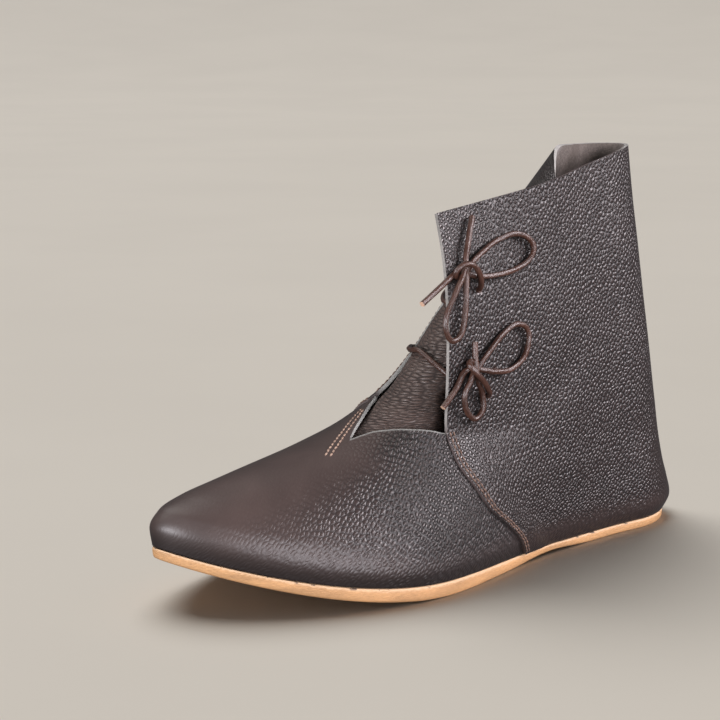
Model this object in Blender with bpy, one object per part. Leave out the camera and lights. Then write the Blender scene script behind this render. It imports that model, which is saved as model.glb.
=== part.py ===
"""Left ankle boot of turn-shoe make, side-laced: one closed solid for each sub-part.

Tables and sizes are in millimetres on a last that lies flat: x runs from the heel to the toe, y to the
wearer's left (the outer side, with the lacing flap) and z up from the floor. The toe spring and the sole's
changing thickness are bent in afterwards by one function, so all the pieces keep together.
"""

import math

import bpy
import numpy as np

MM = 0.001

# Driving dimensions
SOLE_LENGTH = 275.0
SOLE_THICKNESS = 5.0
SOLE_EDGE_INSET = 0.7
ARCH_RISE = 1.6
ARCH_FROM = 62.0
ARCH_TO = 124.0
SPRING_START = 165.0
SPRING_RISE = 22.0
SEAT_FADE = 30.0
WALL = 2.0
SEAT_GAP = 0.4
LAP_WIDTH = 9.0
LAP_STEP = 1.3
LAP_RAMP = 16.0
COLLAR_BACK = 173.0
SLIT_END = 59.0
FLAP_FOOT = 62.0
MEDIAL_JOIN = 72.0
INSOLE_THICKNESS = 1.8
INSOLE_INSET = 3.0
TONGUE_THICKNESS = 1.6
TONGUE_FOOT = 51.0
TONGUE_TOP = 118.0
TONGUE_TUCK = 13.0
TONGUE_DROP = WALL + 1.3
TONGUE_PUFF = 2.4
LACE_DIAMETER = 2.3
LACE_CLEAR = 0.5
HOLE_SETBACK = 10.5
POINT_STEP = 2.5 * LACE_DIAMETER


def columns(names, *rows):
    """A table as named columns."""
    return dict(zip(names.split(), np.array(rows, float).T))


# Back line and front ridge of the last at each height; the front radius rounds the level curve
SPINE = columns(
    "z back_x tip_x tip_y tip_r",
    (5, -1.0, 273.0, -4.0, 9.0),
    (12, -5.5, 274.0, -4.0, 10.0),
    (20, -2.8, 270.0, -3.0, 11.0),
    (28, 0.4, 260.0, -2.0, 12.0),
    (36, 2.6, 246.0, -1.0, 12.0),
    (45, 4.4, 227.5, 0.0, 12.0),
    (54, 6.0, 204.5, 1.0, 13.0),
    (62, 7.4, 183.0, 2.0, 14.0),
    (74, 9.4, 157.5, 2.0, 15.0),
    (86, 11.4, 144.0, 1.0, 15.0),
    (104, 13.9, 127.5, 0.0, 14.0),
    (128, 17.0, 104.5, 0.0, 12.0),
    (150, 19.3, 82.0, 0.0, 10.0),
    (174, 21.3, 57.0, 0.0, 9.0),
)

# Outer side: above the flap's foot the ball station is the flap's front edge
LATERAL = columns(
    "z heel_x heel_y waist_x waist_y ball_x ball_y ball_m",
    (5, 34.0, 26.5, 88.0, 31.5, 180.0, 53.0, 0.0),
    (12, 34.0, 28.5, 88.0, 33.5, 179.0, 54.5, 0.0),
    (20, 35.0, 28.5, 88.0, 34.0, 176.0, 53.5, 0.0),
    (28, 36.0, 28.0, 88.0, 34.0, 172.0, 51.0, 0.0),
    (36, 37.0, 27.5, 88.0, 34.0, 168.0, 47.5, 0.0),
    (45, 38.0, 27.0, 89.0, 33.5, 163.0, 43.0, 0.0),
    (54, 38.0, 26.5, 90.0, 33.0, 158.0, 38.0, 0.0),
    (62, 39.0, 26.0, 90.0, 32.5, 157.0, 34.5, 0.0),
    (84, 41.0, 25.0, 92.0, 31.0, 155.5, 34.0, 0.03),
    (105, 43.0, 23.0, 95.0, 29.5, 154.5, 33.0, 0.04),
    (128, 46.0, 21.0, 97.0, 27.0, 153.0, 29.0, 0.02),
    (151, 50.0, 18.0, 100.0, 24.0, 152.0, 22.0, -0.03),
    (174, 53.0, 15.0, 102.0, 21.0, 152.0, 15.0, -0.06),
)

# Inner side; the tongue's outer half mirrors it
MEDIAL = columns(
    "z heel_x heel_y waist_x waist_y ball_x ball_y ball_m",
    (5, 34.0, 26.0, 95.0, 22.0, 190.0, 43.0, 0.0),
    (12, 34.0, 28.0, 95.0, 24.0, 189.0, 45.0, 0.0),
    (20, 35.0, 28.0, 95.0, 25.0, 186.0, 44.0, 0.0),
    (28, 36.0, 28.0, 94.0, 26.0, 180.0, 41.0, 0.0),
    (36, 37.0, 27.5, 93.0, 27.0, 172.0, 37.0, 0.0),
    (45, 38.0, 27.0, 92.0, 28.0, 160.0, 33.5, 0.0),
    (54, 38.0, 26.5, 90.0, 28.5, 145.0, 31.0, 0.0),
    (62, 39.0, 26.0, 86.0, 28.5, 130.0, 29.5, 0.0),
    (76, 40.0, 25.0, 78.0, 27.5, 112.0, 27.5, 0.0),
    (102, 42.0, 22.0, 68.0, 25.0, 90.0, 25.0, 0.0),
    (128, 42.0, 18.5, 58.0, 21.0, 72.0, 21.0, 0.0),
    (150, 40.0, 15.0, 50.0, 17.0, 59.0, 17.0, 0.0),
    (174, 37.0, 11.5, 41.0, 12.5, 46.0, 12.5, 0.0),
)

# Where the quarter's front edge crosses each height, on both sides
SEAM = columns("z x", (5, 116), (14, 123), (22, 132.5), (31, 144), (41, 150.5), (50, 155.5), (62, 158), (72, 159.5))
# The vamp's slit runs from the outer side across the ridge to the inner side
SLIT = columns(
    "z y", (40, -4), (50, 4), (58, 12), (60, 9), (62, 6), (64, 3), (66, -0.3), (68, -4.2), (70, -8.8), (72, -12)
)
# How far the quarter's inner front edge passes the ridge to the outer side
EDGE = columns(
    "z past", (72, -15), (80, -16), (86, -17), (92, -19), (100, -19), (118, -10), (135, 2), (150, 8), (174, 10)
)
# Rise of the vamp's free upper edge, from the slit to the flap
VAMP_EDGE = columns(
    "part rise", (0, 0), (0.11, 2), (0.2, 3.4), (0.32, 4.3), (0.47, 5), (0.62, 5.1), (0.72, 4.6), (0.79, 3.7), (1, 1.5)
)
# Collar height along the quarter, from the flap's corner round the back to the inner front
COLLAR = columns("part z", (0, 151), (0.25, 161.5), (0.5, COLLAR_BACK), (0.78, 172.8), (0.87, 171), (0.924, 167.5), (1, 158))
# How far the tongue reaches past the ridge under the flap
TONGUE_REACH = columns("z reach", (51, 46), (90, 40), (118, 33))
# Thickness of the sole along its length
SOLE = columns("x thickness", (0, 4.0), (95, 4.2), (170, 6.0), (225, 5.2), (275, 4.2))

VAMP_LEVELS = (5, 8, 12, 17, 23, 30, 37, 44, 50, 55, SLIT_END)
SLIT_LEVELS = (63, 67, 71)
QUARTER_LEVELS = (5, 8, 12, 17, 23, 30, 38, 46, 54, 62, 67, 72, 84, 97, 110, 124, 138, 150, 162, COLLAR_BACK)
TONGUE_LEVELS = (51, 56, 61, 65, 69, 73, 78, 84, 91, 98, 105, 112, TONGUE_TOP)

# Lace holes: crossing rows from the inner side (ridge) to the flap
CROSSINGS = columns(
    "start_z ridge_z hole_x hole_z",
    (152, 147, 135.3, 131.8),
    (139, 134, 136, 119),
    (113, 108, 129.3, 85),
    (88, 90, 133, 75),
)

# Cord routes on the flap's outer face: x, height and distance out from the leather
BOWS = {
    "upper": {
        "knot": (144.8, 127.6),
        "loop_back": (
            (140.6, 131.2, 3.4), (133, 135, 2.8), (125, 138.3, 2.3), (114, 140.5, 2.1), (106, 138, 2.1),
            (103.5, 133.5, 2.1), (108, 128.5, 2.1), (118, 125.5, 2.2), (130, 124.5, 2.6), (139.2, 125.2, 3.0),
        ),
        "loop_down": (
            (149.4, 124.6, 4.8), (154, 119, 4.6), (159, 111.5, 4.0), (159.5, 105, 3.6), (156, 100.5, 3.2),
            (150.5, 103, 3.0), (147.3, 112, 2.8), (145.6, 121.6, 3.0),
        ),
        "end_up": ((143.9, 133.0, 3.0), (140.5, 140, 3.0), (136, 149, 2.4)),
        "end_front": ((150.6, 126.4, 1.7), (158, 122.6, 1.8), (170, 116.5, 2.0)),
    },
    "lower": {
        "knot": (142.4, 87.4),
        "loop_back": (
            (138.6, 91.0, 3.2), (132, 96, 2.8), (126, 100, 2.3), (118, 103.2, 2.1), (111.5, 101.5, 2.1),
            (110, 96, 2.1), (113.5, 89, 2.1), (122, 84.8, 2.2), (131, 85, 2.4), (136.8, 86.2, 2.8),
        ),
        "loop_down": (
            (146.6, 82.9, 3.6), (149.6, 78, 3.4), (149, 72.5, 3.0), (146, 68.2, 2.8), (142.4, 67, 2.6),
            (138.6, 70.5, 2.4), (138.8, 76.5, 2.4), (141.2, 81.4, 3.0),
        ),
        "end_up": ((142.6, 92.8, 2.6), (142.4, 95.5, 2.4), (142.2, 98.5, 2.2)),
        "end_front": ((148.2, 86.6, 1.7), (153, 80.5, 1.8), (160.5, 73.5, 2.0)),
    },
}
KNOT_AXES = (3.5, 2.5, 3.3)

COLOURS = {
    "upper_leather": (0.035, 0.026, 0.024, 1.0),
    "tongue_leather": (0.045, 0.034, 0.030, 1.0),
    "sole_leather": (0.52, 0.33, 0.17, 1.0),
    "insole_leather": (0.16, 0.11, 0.08, 1.0),
    "lace_leather": (0.10, 0.055, 0.042, 1.0),
}


def smooth(xs, ys, x):
    """Monotone cubic through a table's points, flat beyond its ends."""
    gap = np.diff(xs)
    slope = np.diff(ys) / gap
    tangent = np.concatenate([slope[:1], np.zeros(len(xs) - 2), slope[-1:]])
    for i in range(1, len(xs) - 1):
        if slope[i - 1] * slope[i] > 0:
            before = 2 * gap[i] + gap[i - 1]
            after = gap[i] + 2 * gap[i - 1]
            tangent[i] = (before + after) / (before / slope[i - 1] + after / slope[i])
    x = np.clip(x, xs[0], xs[-1])
    k = np.clip(np.searchsorted(xs, x) - 1, 0, len(gap) - 1)
    t = (x - xs[k]) / gap[k]
    rise = ys[k] * (2 * t**3 - 3 * t**2 + 1) + ys[k + 1] * (3 * t**2 - 2 * t**3)
    return rise + gap[k] * (tangent[k] * (t**3 - 2 * t**2 + t) + tangent[k + 1] * (t**3 - t**2))


def look_up(table, key, name, value):
    """One column of a table at a value of its key column."""
    return float(smooth(table[key], table[name], value))


def level(table, z):
    """All the columns of a level table at one height."""
    return {name: look_up(table, "z", name, z) for name in table if name != "z"}


def bezier(corners, count):
    """Points on a cubic curve with four control points."""
    a, b, c, d = (np.array(corner, float) for corner in corners)
    t = np.linspace(0.0, 1.0, count)[:, None]
    return (1 - t) ** 3 * a + 3 * t * (1 - t) ** 2 * b + 3 * t**2 * (1 - t) * c + t**3 * d


def reach(x0, y0, m0, x1, y1, m1, count):
    """A cubic between two stations with a slope at each."""
    third = (x1 - x0) / 3
    return bezier(((x0, y0), (x0 + third, y0 + m0 * third), (x1 - third, y1 - m1 * third), (x1, y1)), count)


def side(z, table, sign, tip=True):
    """One side of the level curve at height z, from the front to the back line."""
    spine = level(SPINE, z)
    wide = level(table, z)
    waist_m = 0.6 * (wide["ball_y"] - wide["heel_y"]) / (wide["ball_x"] - wide["heel_x"])
    pieces = []
    if tip:
        length = spine["tip_x"] - wide["ball_x"]
        start_y = sign * spine["tip_y"]
        rounding = math.sqrt(spine["tip_r"] * 0.55 * length / 1.5)
        rounding = min(rounding, 0.75 * (wide["ball_y"] - start_y))
        pieces.append(bezier((
            (spine["tip_x"], start_y),
            (spine["tip_x"], start_y + rounding),
            (wide["ball_x"] + 0.45 * length, wide["ball_y"]),
            (wide["ball_x"], wide["ball_y"]),
        ), 40))
    pieces.append(reach(wide["ball_x"], wide["ball_y"], wide["ball_m"],
                        wide["waist_x"], wide["waist_y"], waist_m, 30))
    pieces.append(reach(wide["waist_x"], wide["waist_y"], waist_m,
                        wide["heel_x"], wide["heel_y"], 0.0, 20))
    length = wide["heel_x"] - spine["back_x"]
    pieces.append(bezier((
        (wide["heel_x"], wide["heel_y"]),
        (wide["heel_x"] - 0.5523 * length, wide["heel_y"]),
        (spine["back_x"], 0.5523 * wide["heel_y"]),
        (spine["back_x"], 0.0),
    ), 40))
    path = np.concatenate([pieces[0]] + [piece[1:] for piece in pieces[1:]])
    path[:, 1] *= sign
    return path


def walk(path):
    """Distance along a path at each of its points."""
    return np.concatenate([[0.0], np.cumsum(np.linalg.norm(np.diff(path, axis=0), axis=1))])


def pick(path, parts):
    """Points at given parts of a path's length."""
    along = walk(path)
    return np.stack([np.interp(np.asarray(parts) * along[-1], along, path[:, k]) for k in range(path.shape[1])], 1)


def cut(path, at):
    """A path in two at a distance along it."""
    along = walk(path)
    point = [np.interp(at, along, path[:, k]) for k in range(path.shape[1])]
    return (np.concatenate([path[along < at - 1e-6], [point]]), np.concatenate([[point], path[along > at + 1e-6]]))


def distance_to(path, column, value):
    """Distance along a path to the first place where a coordinate passes a value."""
    offset = path[:, column] - value
    k = int(np.argmax(offset * offset[0] <= 0))
    part = offset[k - 1] / (offset[k - 1] - offset[k]) if k else 0.0
    along = walk(path)
    return along[max(k - 1, 0)] + part * (along[k] - along[max(k - 1, 0)])


def normals(path):
    """Outward normals of a path in plan; outward is to the right of its run."""
    run = np.gradient(path, axis=0)
    run /= np.linalg.norm(run, axis=1)[:, None]
    return np.stack([run[:, 1], -run[:, 0]], 1)


def ease(t):
    """Smooth step from 0 to 1."""
    t = np.clip(t, 0.0, 1.0)
    return t * t * (3 - 2 * t)


def bend(points):
    """Toe spring and the sole's thickness put into points of the flat last."""
    bent = np.array(points, float)
    x = bent[..., 0]
    z = bent[..., 2]
    spring = SPRING_RISE * (np.maximum(0.0, x - SPRING_START) / (SOLE_LENGTH - SPRING_START)) ** 2
    seat = smooth(SOLE["x"], SOLE["thickness"], x) - SOLE_THICKNESS
    hold = np.where(z < SOLE_THICKNESS, z / SOLE_THICKNESS, 1 - ease((z - SOLE_THICKNESS) / SEAT_FADE))
    bent[..., 2] = z + spring + seat * hold
    return bent


def crowd(count, power):
    """Parts from 0 to 1 that lie closer together at 0."""
    return np.linspace(0.0, 1.0, count) ** power


def both_ends(count):
    """Parts from 0 to 1 that lie closer together at both ends."""
    return 0.5 - 0.5 * np.cos(np.linspace(0.0, math.pi, count))


def split_level(z):
    """The level curve from the slit line: the outer half and the inner half, each cut under the quarter."""
    outer = side(z, LATERAL, 1)
    inner = side(z, MEDIAL, -1)
    seam_x = look_up(SEAM, "z", "x", z) - LAP_WIDTH
    outer = cut(outer, distance_to(outer, 0, seam_x))[0]
    inner = cut(inner, distance_to(inner, 0, seam_x))[0]
    slit_y = look_up(SLIT, "z", "y", z)
    if slit_y > outer[0, 1] + 0.2:
        lead, outer = cut(outer, distance_to(outer, 1, slit_y))
        inner = np.concatenate([lead[::-1], inner[1:]])
    elif z > SLIT_END and slit_y < inner[0, 1] - 0.2:
        inner = cut(inner, distance_to(inner, 1, slit_y))[1]
    return outer, inner


def vamp_grids():
    """Outer skin of the vamp: grids of the outer and inner halves, rows from the sole up."""
    parts = crowd(17, 1.5)
    foot = VAMP_LEVELS[0]
    outer = []
    inner = []
    for z in VAMP_LEVELS:
        row = []
        for part in parts:
            share = (z - foot) / (SLIT_END - foot)
            own_z = z + share * look_up(VAMP_EDGE, "part", "rise", part)
            row.append((*pick(split_level(own_z)[0] if part else split_level(z)[0], [part])[0], own_z))
        outer.append(row)
    for z in VAMP_LEVELS + SLIT_LEVELS:
        half = pick(split_level(z)[1], parts)
        inner.append(np.column_stack([half, np.full(len(half), z)]))
    return np.array(outer), np.array(inner)


def quarter_paths(z):
    """The quarter's level curve: outer part from its front edge to the back, inner part from back to front."""
    if z < FLAP_FOOT:
        outer = side(z, LATERAL, 1)
        outer = cut(outer, distance_to(outer, 0, look_up(SEAM, "z", "x", z)))[1]
    else:
        outer = side(z, LATERAL, 1, tip=False)
    inner, over = ring(z)
    past = -edge_distance(inner, z)
    if past < 0:
        inner = cut(inner, -past)[1]
    elif past > 0.1:
        inner = np.concatenate([cut(over, past)[0][::-1], inner[1:]])
    return outer, inner[::-1]


def edge_distance(inner, z):
    """Distance from the ridge back to the quarter's inner front edge; negative where the edge passes the ridge."""
    if z < MEDIAL_JOIN:
        return distance_to(inner, 0, look_up(SEAM, "z", "x", z))
    return -look_up(EDGE, "z", "past", z)


def lift_off(path, from_start, z, top):
    """The lap's step: the quarter lies on the vamp near its front edge."""
    along = walk(path)
    away = along if from_start else along[-1] - along
    step = LAP_STEP * (1 - ease((away - LAP_WIDTH) / LAP_RAMP)) * (1 - ease((z - top) / LAP_RAMP))
    return path + step[:, None] * normals(path)


def quarter_point(z, part):
    """A point of the quarter's outer skin; part runs from the flap (0) round the back (0.5) to the inner front."""
    outer, inner = quarter_paths(z)
    outer = lift_off(outer, True, z, FLAP_FOOT - LAP_RAMP / 2)
    inner = lift_off(inner, False, z, MEDIAL_JOIN)
    if part <= 0.5:
        return pick(outer, [part * 2])[0]
    return pick(inner, [part * 2 - 1])[0]


def quarter_grid():
    """Outer skin of the one-piece quarter, rows from the sole up to the collar."""
    outer_parts = 0.5 - 0.5 * crowd(20, 1.5)[::-1]
    inner_parts = 0.5 + 0.5 * both_ends(20)[1:]
    rows = []
    for z in QUARTER_LEVELS:
        row = []
        for part in np.concatenate([outer_parts, inner_parts]):
            top = look_up(COLLAR, "part", "z", part)
            share = max(0.0, (z - MEDIAL_JOIN) / (COLLAR_BACK - MEDIAL_JOIN))
            own_z = z if z <= MEDIAL_JOIN else MEDIAL_JOIN + share * (top - MEDIAL_JOIN)
            row.append((*quarter_point(own_z, part), own_z))
        rows.append(row)
    return np.array(rows)


def ring(z):
    """The level curve that the tongue follows: inner side, over the ridge, then the mirrored outer side."""
    inner = side(z, MEDIAL, -1)
    outer = side(z, MEDIAL, 1)
    outer[:, 1] += inner[0, 1] - outer[0, 1]
    return inner, outer


def tongue_grid():
    """Surface that the tongue lies under, from below the quarter's inner edge to under the flap."""
    rows = []
    for z in TONGUE_LEVELS:
        inner, outer = ring(z)
        start = TONGUE_TUCK + max(0.0, edge_distance(inner, z))
        under = cut(inner, start)[0][::-1]
        over = cut(outer, look_up(TONGUE_REACH, "z", "reach", z))[0]
        row = np.concatenate([pick(under, 1 - crowd(9, 1.3)[::-1]), pick(over, crowd(12, 1.3))[1:]])
        past = walk(row) - walk(under)[-1]
        puff = TONGUE_PUFF * ease((past - front_edge(inner, outer, z) - 1.5) / 6) * ease((z - 65) / 8)
        row = row + puff[:, None] * normals(row)
        rows.append(np.column_stack([row, np.full(len(row), z)]))
    return np.array(rows)


def front_edge(inner, outer, z):
    """Where the inner leather's front edge lies past the ridge: the slit below, the quarter's edge above."""
    if z >= MEDIAL_JOIN:
        return look_up(EDGE, "z", "past", z)
    slit_y = look_up(SLIT, "z", "y", z)
    if slit_y > inner[0, 1]:
        return distance_to(outer, 1, slit_y)
    return -distance_to(inner, 1, slit_y)


def material(name):
    """A plain Principled material."""
    paint = bpy.data.materials.new(name)
    paint.use_nodes = True
    shader = paint.node_tree.nodes["Principled BSDF"]
    shader.inputs["Base Color"].default_value = COLOURS[name]
    shader.inputs["Roughness"].default_value = 0.55
    paint.diffuse_color = COLOURS[name]
    return paint


def add_object(name, data, paint):
    """A named object in the scene with one material."""
    piece = bpy.data.objects.new(name, data)
    bpy.context.scene.collection.objects.link(piece)
    if paint:
        data.materials.append(paint)
    return piece


def grid_faces(rows, count, first, flip):
    """Faces of a grid of rows by count points."""
    faces = []
    for j in range(rows - 1):
        for i in range(count - 1):
            a = first + j * count + i
            face = (a, a + 1, a + 1 + count, a + count)
            faces.append(face[::-1] if flip else face)
    return faces


def skin(name, grids, paint):
    """A bent, welded surface from grids; each grid comes with its turn."""
    points = []
    faces = []
    for grid, flip in grids:
        faces += grid_faces(grid.shape[0], grid.shape[1], len(points), flip)
        points += (bend(grid.reshape(-1, 3)) * MM).tolist()
    mesh = bpy.data.meshes.new(name)
    mesh.from_pydata(points, [], faces)
    piece = add_object(name, mesh, paint)
    weld = piece.modifiers.new("weld", "WELD")
    weld.merge_threshold = 0.00002
    return piece


def thicken(piece, thickness, drop=0.0):
    """Give a surface a wall towards its inside, after an optional drop below it."""
    if drop:
        move = piece.modifiers.new("drop", "DISPLACE")
        move.strength = -drop * MM
        move.mid_level = 0.0
    wall = piece.modifiers.new("wall", "SOLIDIFY")
    wall.thickness = thickness * MM
    wall.offset = -1.0
    wall.use_even_offset = True


def lift_to_seat(grid):
    """Raise a grid's lowest row to leave the gap above the sole."""
    grid[0, :, 2] += SEAT_GAP
    return grid


def build_upper(paint):
    """Vamp and quarter as one hollow solid, the quarter lapped on the vamp."""
    outer, inner = vamp_grids()
    vamp = skin("upper", ((lift_to_seat(outer), False), (lift_to_seat(inner), True)), paint)
    thicken(vamp, WALL)
    quarter = skin("quarter_shell", ((lift_to_seat(quarter_grid()), False),), paint)
    thicken(quarter, WALL)
    quarter.hide_render = True
    quarter.display_type = "WIRE"
    join = vamp.modifiers.new("join_quarter", "BOOLEAN")
    join.operation = "UNION"
    join.solver = "EXACT"
    join.object = quarter
    return vamp, quarter


def build_tongue(paint):
    """Tongue panel under the slit, the quarter's inner edge and the flap."""
    piece = skin("tongue", ((tongue_grid(), False),), paint)
    thicken(piece, TONGUE_THICKNESS, TONGUE_DROP)
    return piece


def plate(name, outline_z, inset, foot_inset, floor, top, paint):
    """A plate with the last's outline: pairs of edge points joined across in strips."""
    parts = both_ends(34)[1:-1]
    across = np.linspace(0.0, 1.0, 5)
    layers = []
    for z_of, grow in ((top, inset), (floor, inset + foot_inset)):
        outer = side(outline_z, LATERAL, 1)
        inner = side(outline_z, MEDIAL, -1)
        outer = outer + grow * normals(outer)
        inner = inner - grow * normals(inner)
        left = pick(outer, parts)
        right = pick(inner, parts)
        strip = left[:, None] * (1 - across[None, :, None]) + right[:, None] * across[None, :, None]
        height = np.array([[z_of(x) for x in row] for row in strip[..., 0]])
        layers.append(np.concatenate([strip, height[..., None]], 2))
    return close_plate(name, layers, paint)


def close_plate(name, layers, paint):
    """Top, floor and edge of a plate as one closed mesh."""
    rows, count = layers[0].shape[:2]
    points = np.concatenate([layer.reshape(-1, 3) for layer in layers])
    faces = grid_faces(rows, count, 0, True) + grid_faces(rows, count, rows * count, False)
    rim = [i * count for i in range(rows)] + [(rows - 1) * count + k for k in range(1, count)]
    rim += [i * count + count - 1 for i in range(rows - 2, -1, -1)] + list(range(count - 2, 0, -1))
    for a, b in zip(rim, rim[1:] + rim[:1]):
        faces.append((a, a + rows * count, b + rows * count, b))
    mesh = bpy.data.meshes.new(name)
    mesh.from_pydata((bend(points) * MM).tolist(), [], faces)
    return add_object(name, mesh, paint)


def arch(x):
    """Height of the sole's floor: level at heel and forefoot, raised at the waist."""
    part = (x - ARCH_FROM) / (ARCH_TO - ARCH_FROM)
    return ARCH_RISE * math.sin(math.pi * min(max(part, 0.0), 1.0)) ** 2


def build_outsole(paint):
    """Single leather outsole with arch and toe spring."""
    return plate("outsole", SOLE_THICKNESS, 0.0, -SOLE_EDGE_INSET, arch, lambda x: SOLE_THICKNESS, paint)


def build_insole(paint):
    """Leather sock on the sole, inside the upper."""
    foot = SOLE_THICKNESS + SEAT_GAP
    return plate("insole", SOLE_THICKNESS, -INSOLE_INSET, 0.0, lambda x: foot, lambda x: foot + INSOLE_THICKNESS, paint)


def flap_point(x, z, out):
    """A point at a distance out from the flap's outer face."""
    wide = level(LATERAL, z)
    waist_m = 0.6 * (wide["ball_y"] - wide["heel_y"]) / (wide["ball_x"] - wide["heel_x"])
    path = reach(wide["ball_x"], wide["ball_y"], wide["ball_m"], wide["waist_x"], wide["waist_y"], waist_m, 40)
    ahead = max(0.0, x - wide["ball_x"])
    y = np.interp(min(x, wide["ball_x"]), path[::-1, 0], path[::-1, 1]) + ahead * wide["ball_m"]
    return np.array((x, y + out, z))


def ridge_point(z, along, out):
    """A point out from the ring: along is the distance past the ridge to the outer (+) or inner (-) side."""
    inner, outer = ring(z)
    path = outer if along >= 0 else inner
    turn = -1 if along >= 0 else 1
    spot = pick(path, [abs(along) / walk(path)[-1]])[0]
    near = pick(path, [max(0.0, abs(along) - 0.5) / walk(path)[-1], (abs(along) + 0.5) / walk(path)[-1]])
    run = (near[1] - near[0]) / np.linalg.norm(near[1] - near[0])
    normal = np.array((-run[1], run[0])) * turn
    return np.array((*(spot + out * normal), z))


def through(points, step):
    """A smooth curve through points, resampled at an even step."""
    points = np.array(points, float)
    ends = np.concatenate([[2 * points[0] - points[1]], points, [2 * points[-1] - points[-2]]])
    dense = []
    for a, b, c, d in zip(ends[:-3], ends[1:-2], ends[2:-1], ends[3:]):
        t = np.linspace(0.0, 1.0, 16, endpoint=False)[:, None]
        dense.append(0.5 * (2 * b + (c - a) * t + (2 * a - 5 * b + 4 * c - d) * t**2 + (3 * b - a - 3 * c + d) * t**3))
    path = np.concatenate(dense + [points[-1:]])
    count = max(3, round(walk(path)[-1] / step) + 1)
    return pick(path, np.linspace(0.0, 1.0, count))


def tube(name, points, paint):
    """A round cord along points, with closed ends."""
    route = bend(through(points, POINT_STEP)) * MM
    curve = bpy.data.curves.new(name, "CURVE")
    curve.dimensions = "3D"
    curve.bevel_depth = LACE_DIAMETER / 2 * MM
    curve.bevel_resolution = 2
    curve.use_fill_caps = True
    spline = curve.splines.new("POLY")
    spline.points.add(len(route) - 1)
    for spot, place in zip(spline.points, route):
        spot.co = (*place, 1.0)
    return add_object(name, curve, paint)


def build_crossings(paint):
    """Lace bars over the tongue, from the inner side's edge to behind the flap."""
    pieces = []
    out = LACE_DIAMETER / 2 + LACE_CLEAR
    behind = -(WALL + out + 1.4)
    over_ridge = 2.2 * out
    for n in range(len(CROSSINGS["start_z"])):
        row = {name: float(values[n]) for name, values in CROSSINGS.items()}
        last = flap_point(row["hole_x"], row["hole_z"], behind)
        over = ridge_point(row["ridge_z"], 0.0, over_ridge)
        middle = 0.5 * (over + last) + (3.0, 2.0, 0.0)
        hole = look_up(EDGE, "z", "past", row["start_z"]) - HOLE_SETBACK
        lead = [ridge_point(row["ridge_z"] + t * (row["start_z"] - row["ridge_z"]), t * hole, over_ridge) for t in (1, 0.66, 0.33)]
        points = lead[: 3 if hole < -15 else 1] + [over, middle, last]
        pieces.append(tube(f"lace_bar_{n + 1}", points, paint))
    return pieces


def build_knot(name, x, z, paint):
    """The tightened knot of a bow on the flap."""
    mesh = bpy.data.meshes.new(name)
    rings = 7
    sides = 10
    centre = flap_point(x, z, KNOT_AXES[1] + LACE_CLEAR)
    points = [centre + (0, 0, KNOT_AXES[2])]
    for j in range(1, rings):
        for i in range(sides):
            tilt = math.pi * j / rings
            turn = 2 * math.pi * i / sides
            unit = np.array((math.sin(tilt) * math.cos(turn), math.sin(tilt) * math.sin(turn), math.cos(tilt)))
            points.append(centre + unit * KNOT_AXES)
    points.append(centre - (0, 0, KNOT_AXES[2]))
    last = len(points) - 1
    faces = []
    for i in range(sides):
        k = (i + 1) % sides
        faces.append((0, 1 + i, 1 + k))
        faces.append((last, last - sides + k, last - sides + i))
        for j in range(rings - 2):
            a = 1 + j * sides
            faces.append((a + i, a + sides + i, a + sides + k, a + k))
    mesh.from_pydata((bend(np.array(points)) * MM).tolist(), [], faces)
    return add_object(name, mesh, paint)


def build_bows(paint):
    """Knot, loops and ends of both bows on the flap."""
    pieces = []
    for bow, routes in BOWS.items():
        for part, route in routes.items():
            name = f"lace_{bow}_{part}"
            if part == "knot":
                pieces.append(build_knot(name, *route, paint))
            else:
                pieces.append(tube(name, [flap_point(*spot) for spot in route], paint))
    return pieces


def centre_on(solids, pieces):
    """Put the origin under the middle of the solids' box, on the floor."""
    bpy.context.view_layer.update()
    graph = bpy.context.evaluated_depsgraph_get()
    points = np.concatenate([
        np.array([vertex.co for vertex in solid.evaluated_get(graph).data.vertices]) for solid in solids
    ])
    middle = (points.min(0) + points.max(0)) / 2
    for piece in pieces:
        piece.location = (-middle[0], -middle[1], -points.min(0)[2])


def main():
    for old in list(bpy.data.objects):
        bpy.data.objects.remove(old, do_unlink=True)
    paints = {name: material(name) for name in COLOURS}
    outsole = build_outsole(paints["sole_leather"])
    insole = build_insole(paints["insole_leather"])
    upper, quarter = build_upper(paints["upper_leather"])
    tongue = build_tongue(paints["tongue_leather"])
    laces = build_crossings(paints["lace_leather"]) + build_bows(paints["lace_leather"])
    centre_on((outsole, upper), [outsole, insole, upper, quarter, tongue] + laces)


main()
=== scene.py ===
"""Looks of the left ankle boot: leather panels, sole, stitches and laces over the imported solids.

Tables are in millimetres on a last that lies flat, as in the part's source: x runs from the heel to the toe,
y to the wearer's left (the outer side) and z up. bend() puts in the toe spring, and place() moves points to
the row frame, in metres.
"""

import functools
import math

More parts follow.
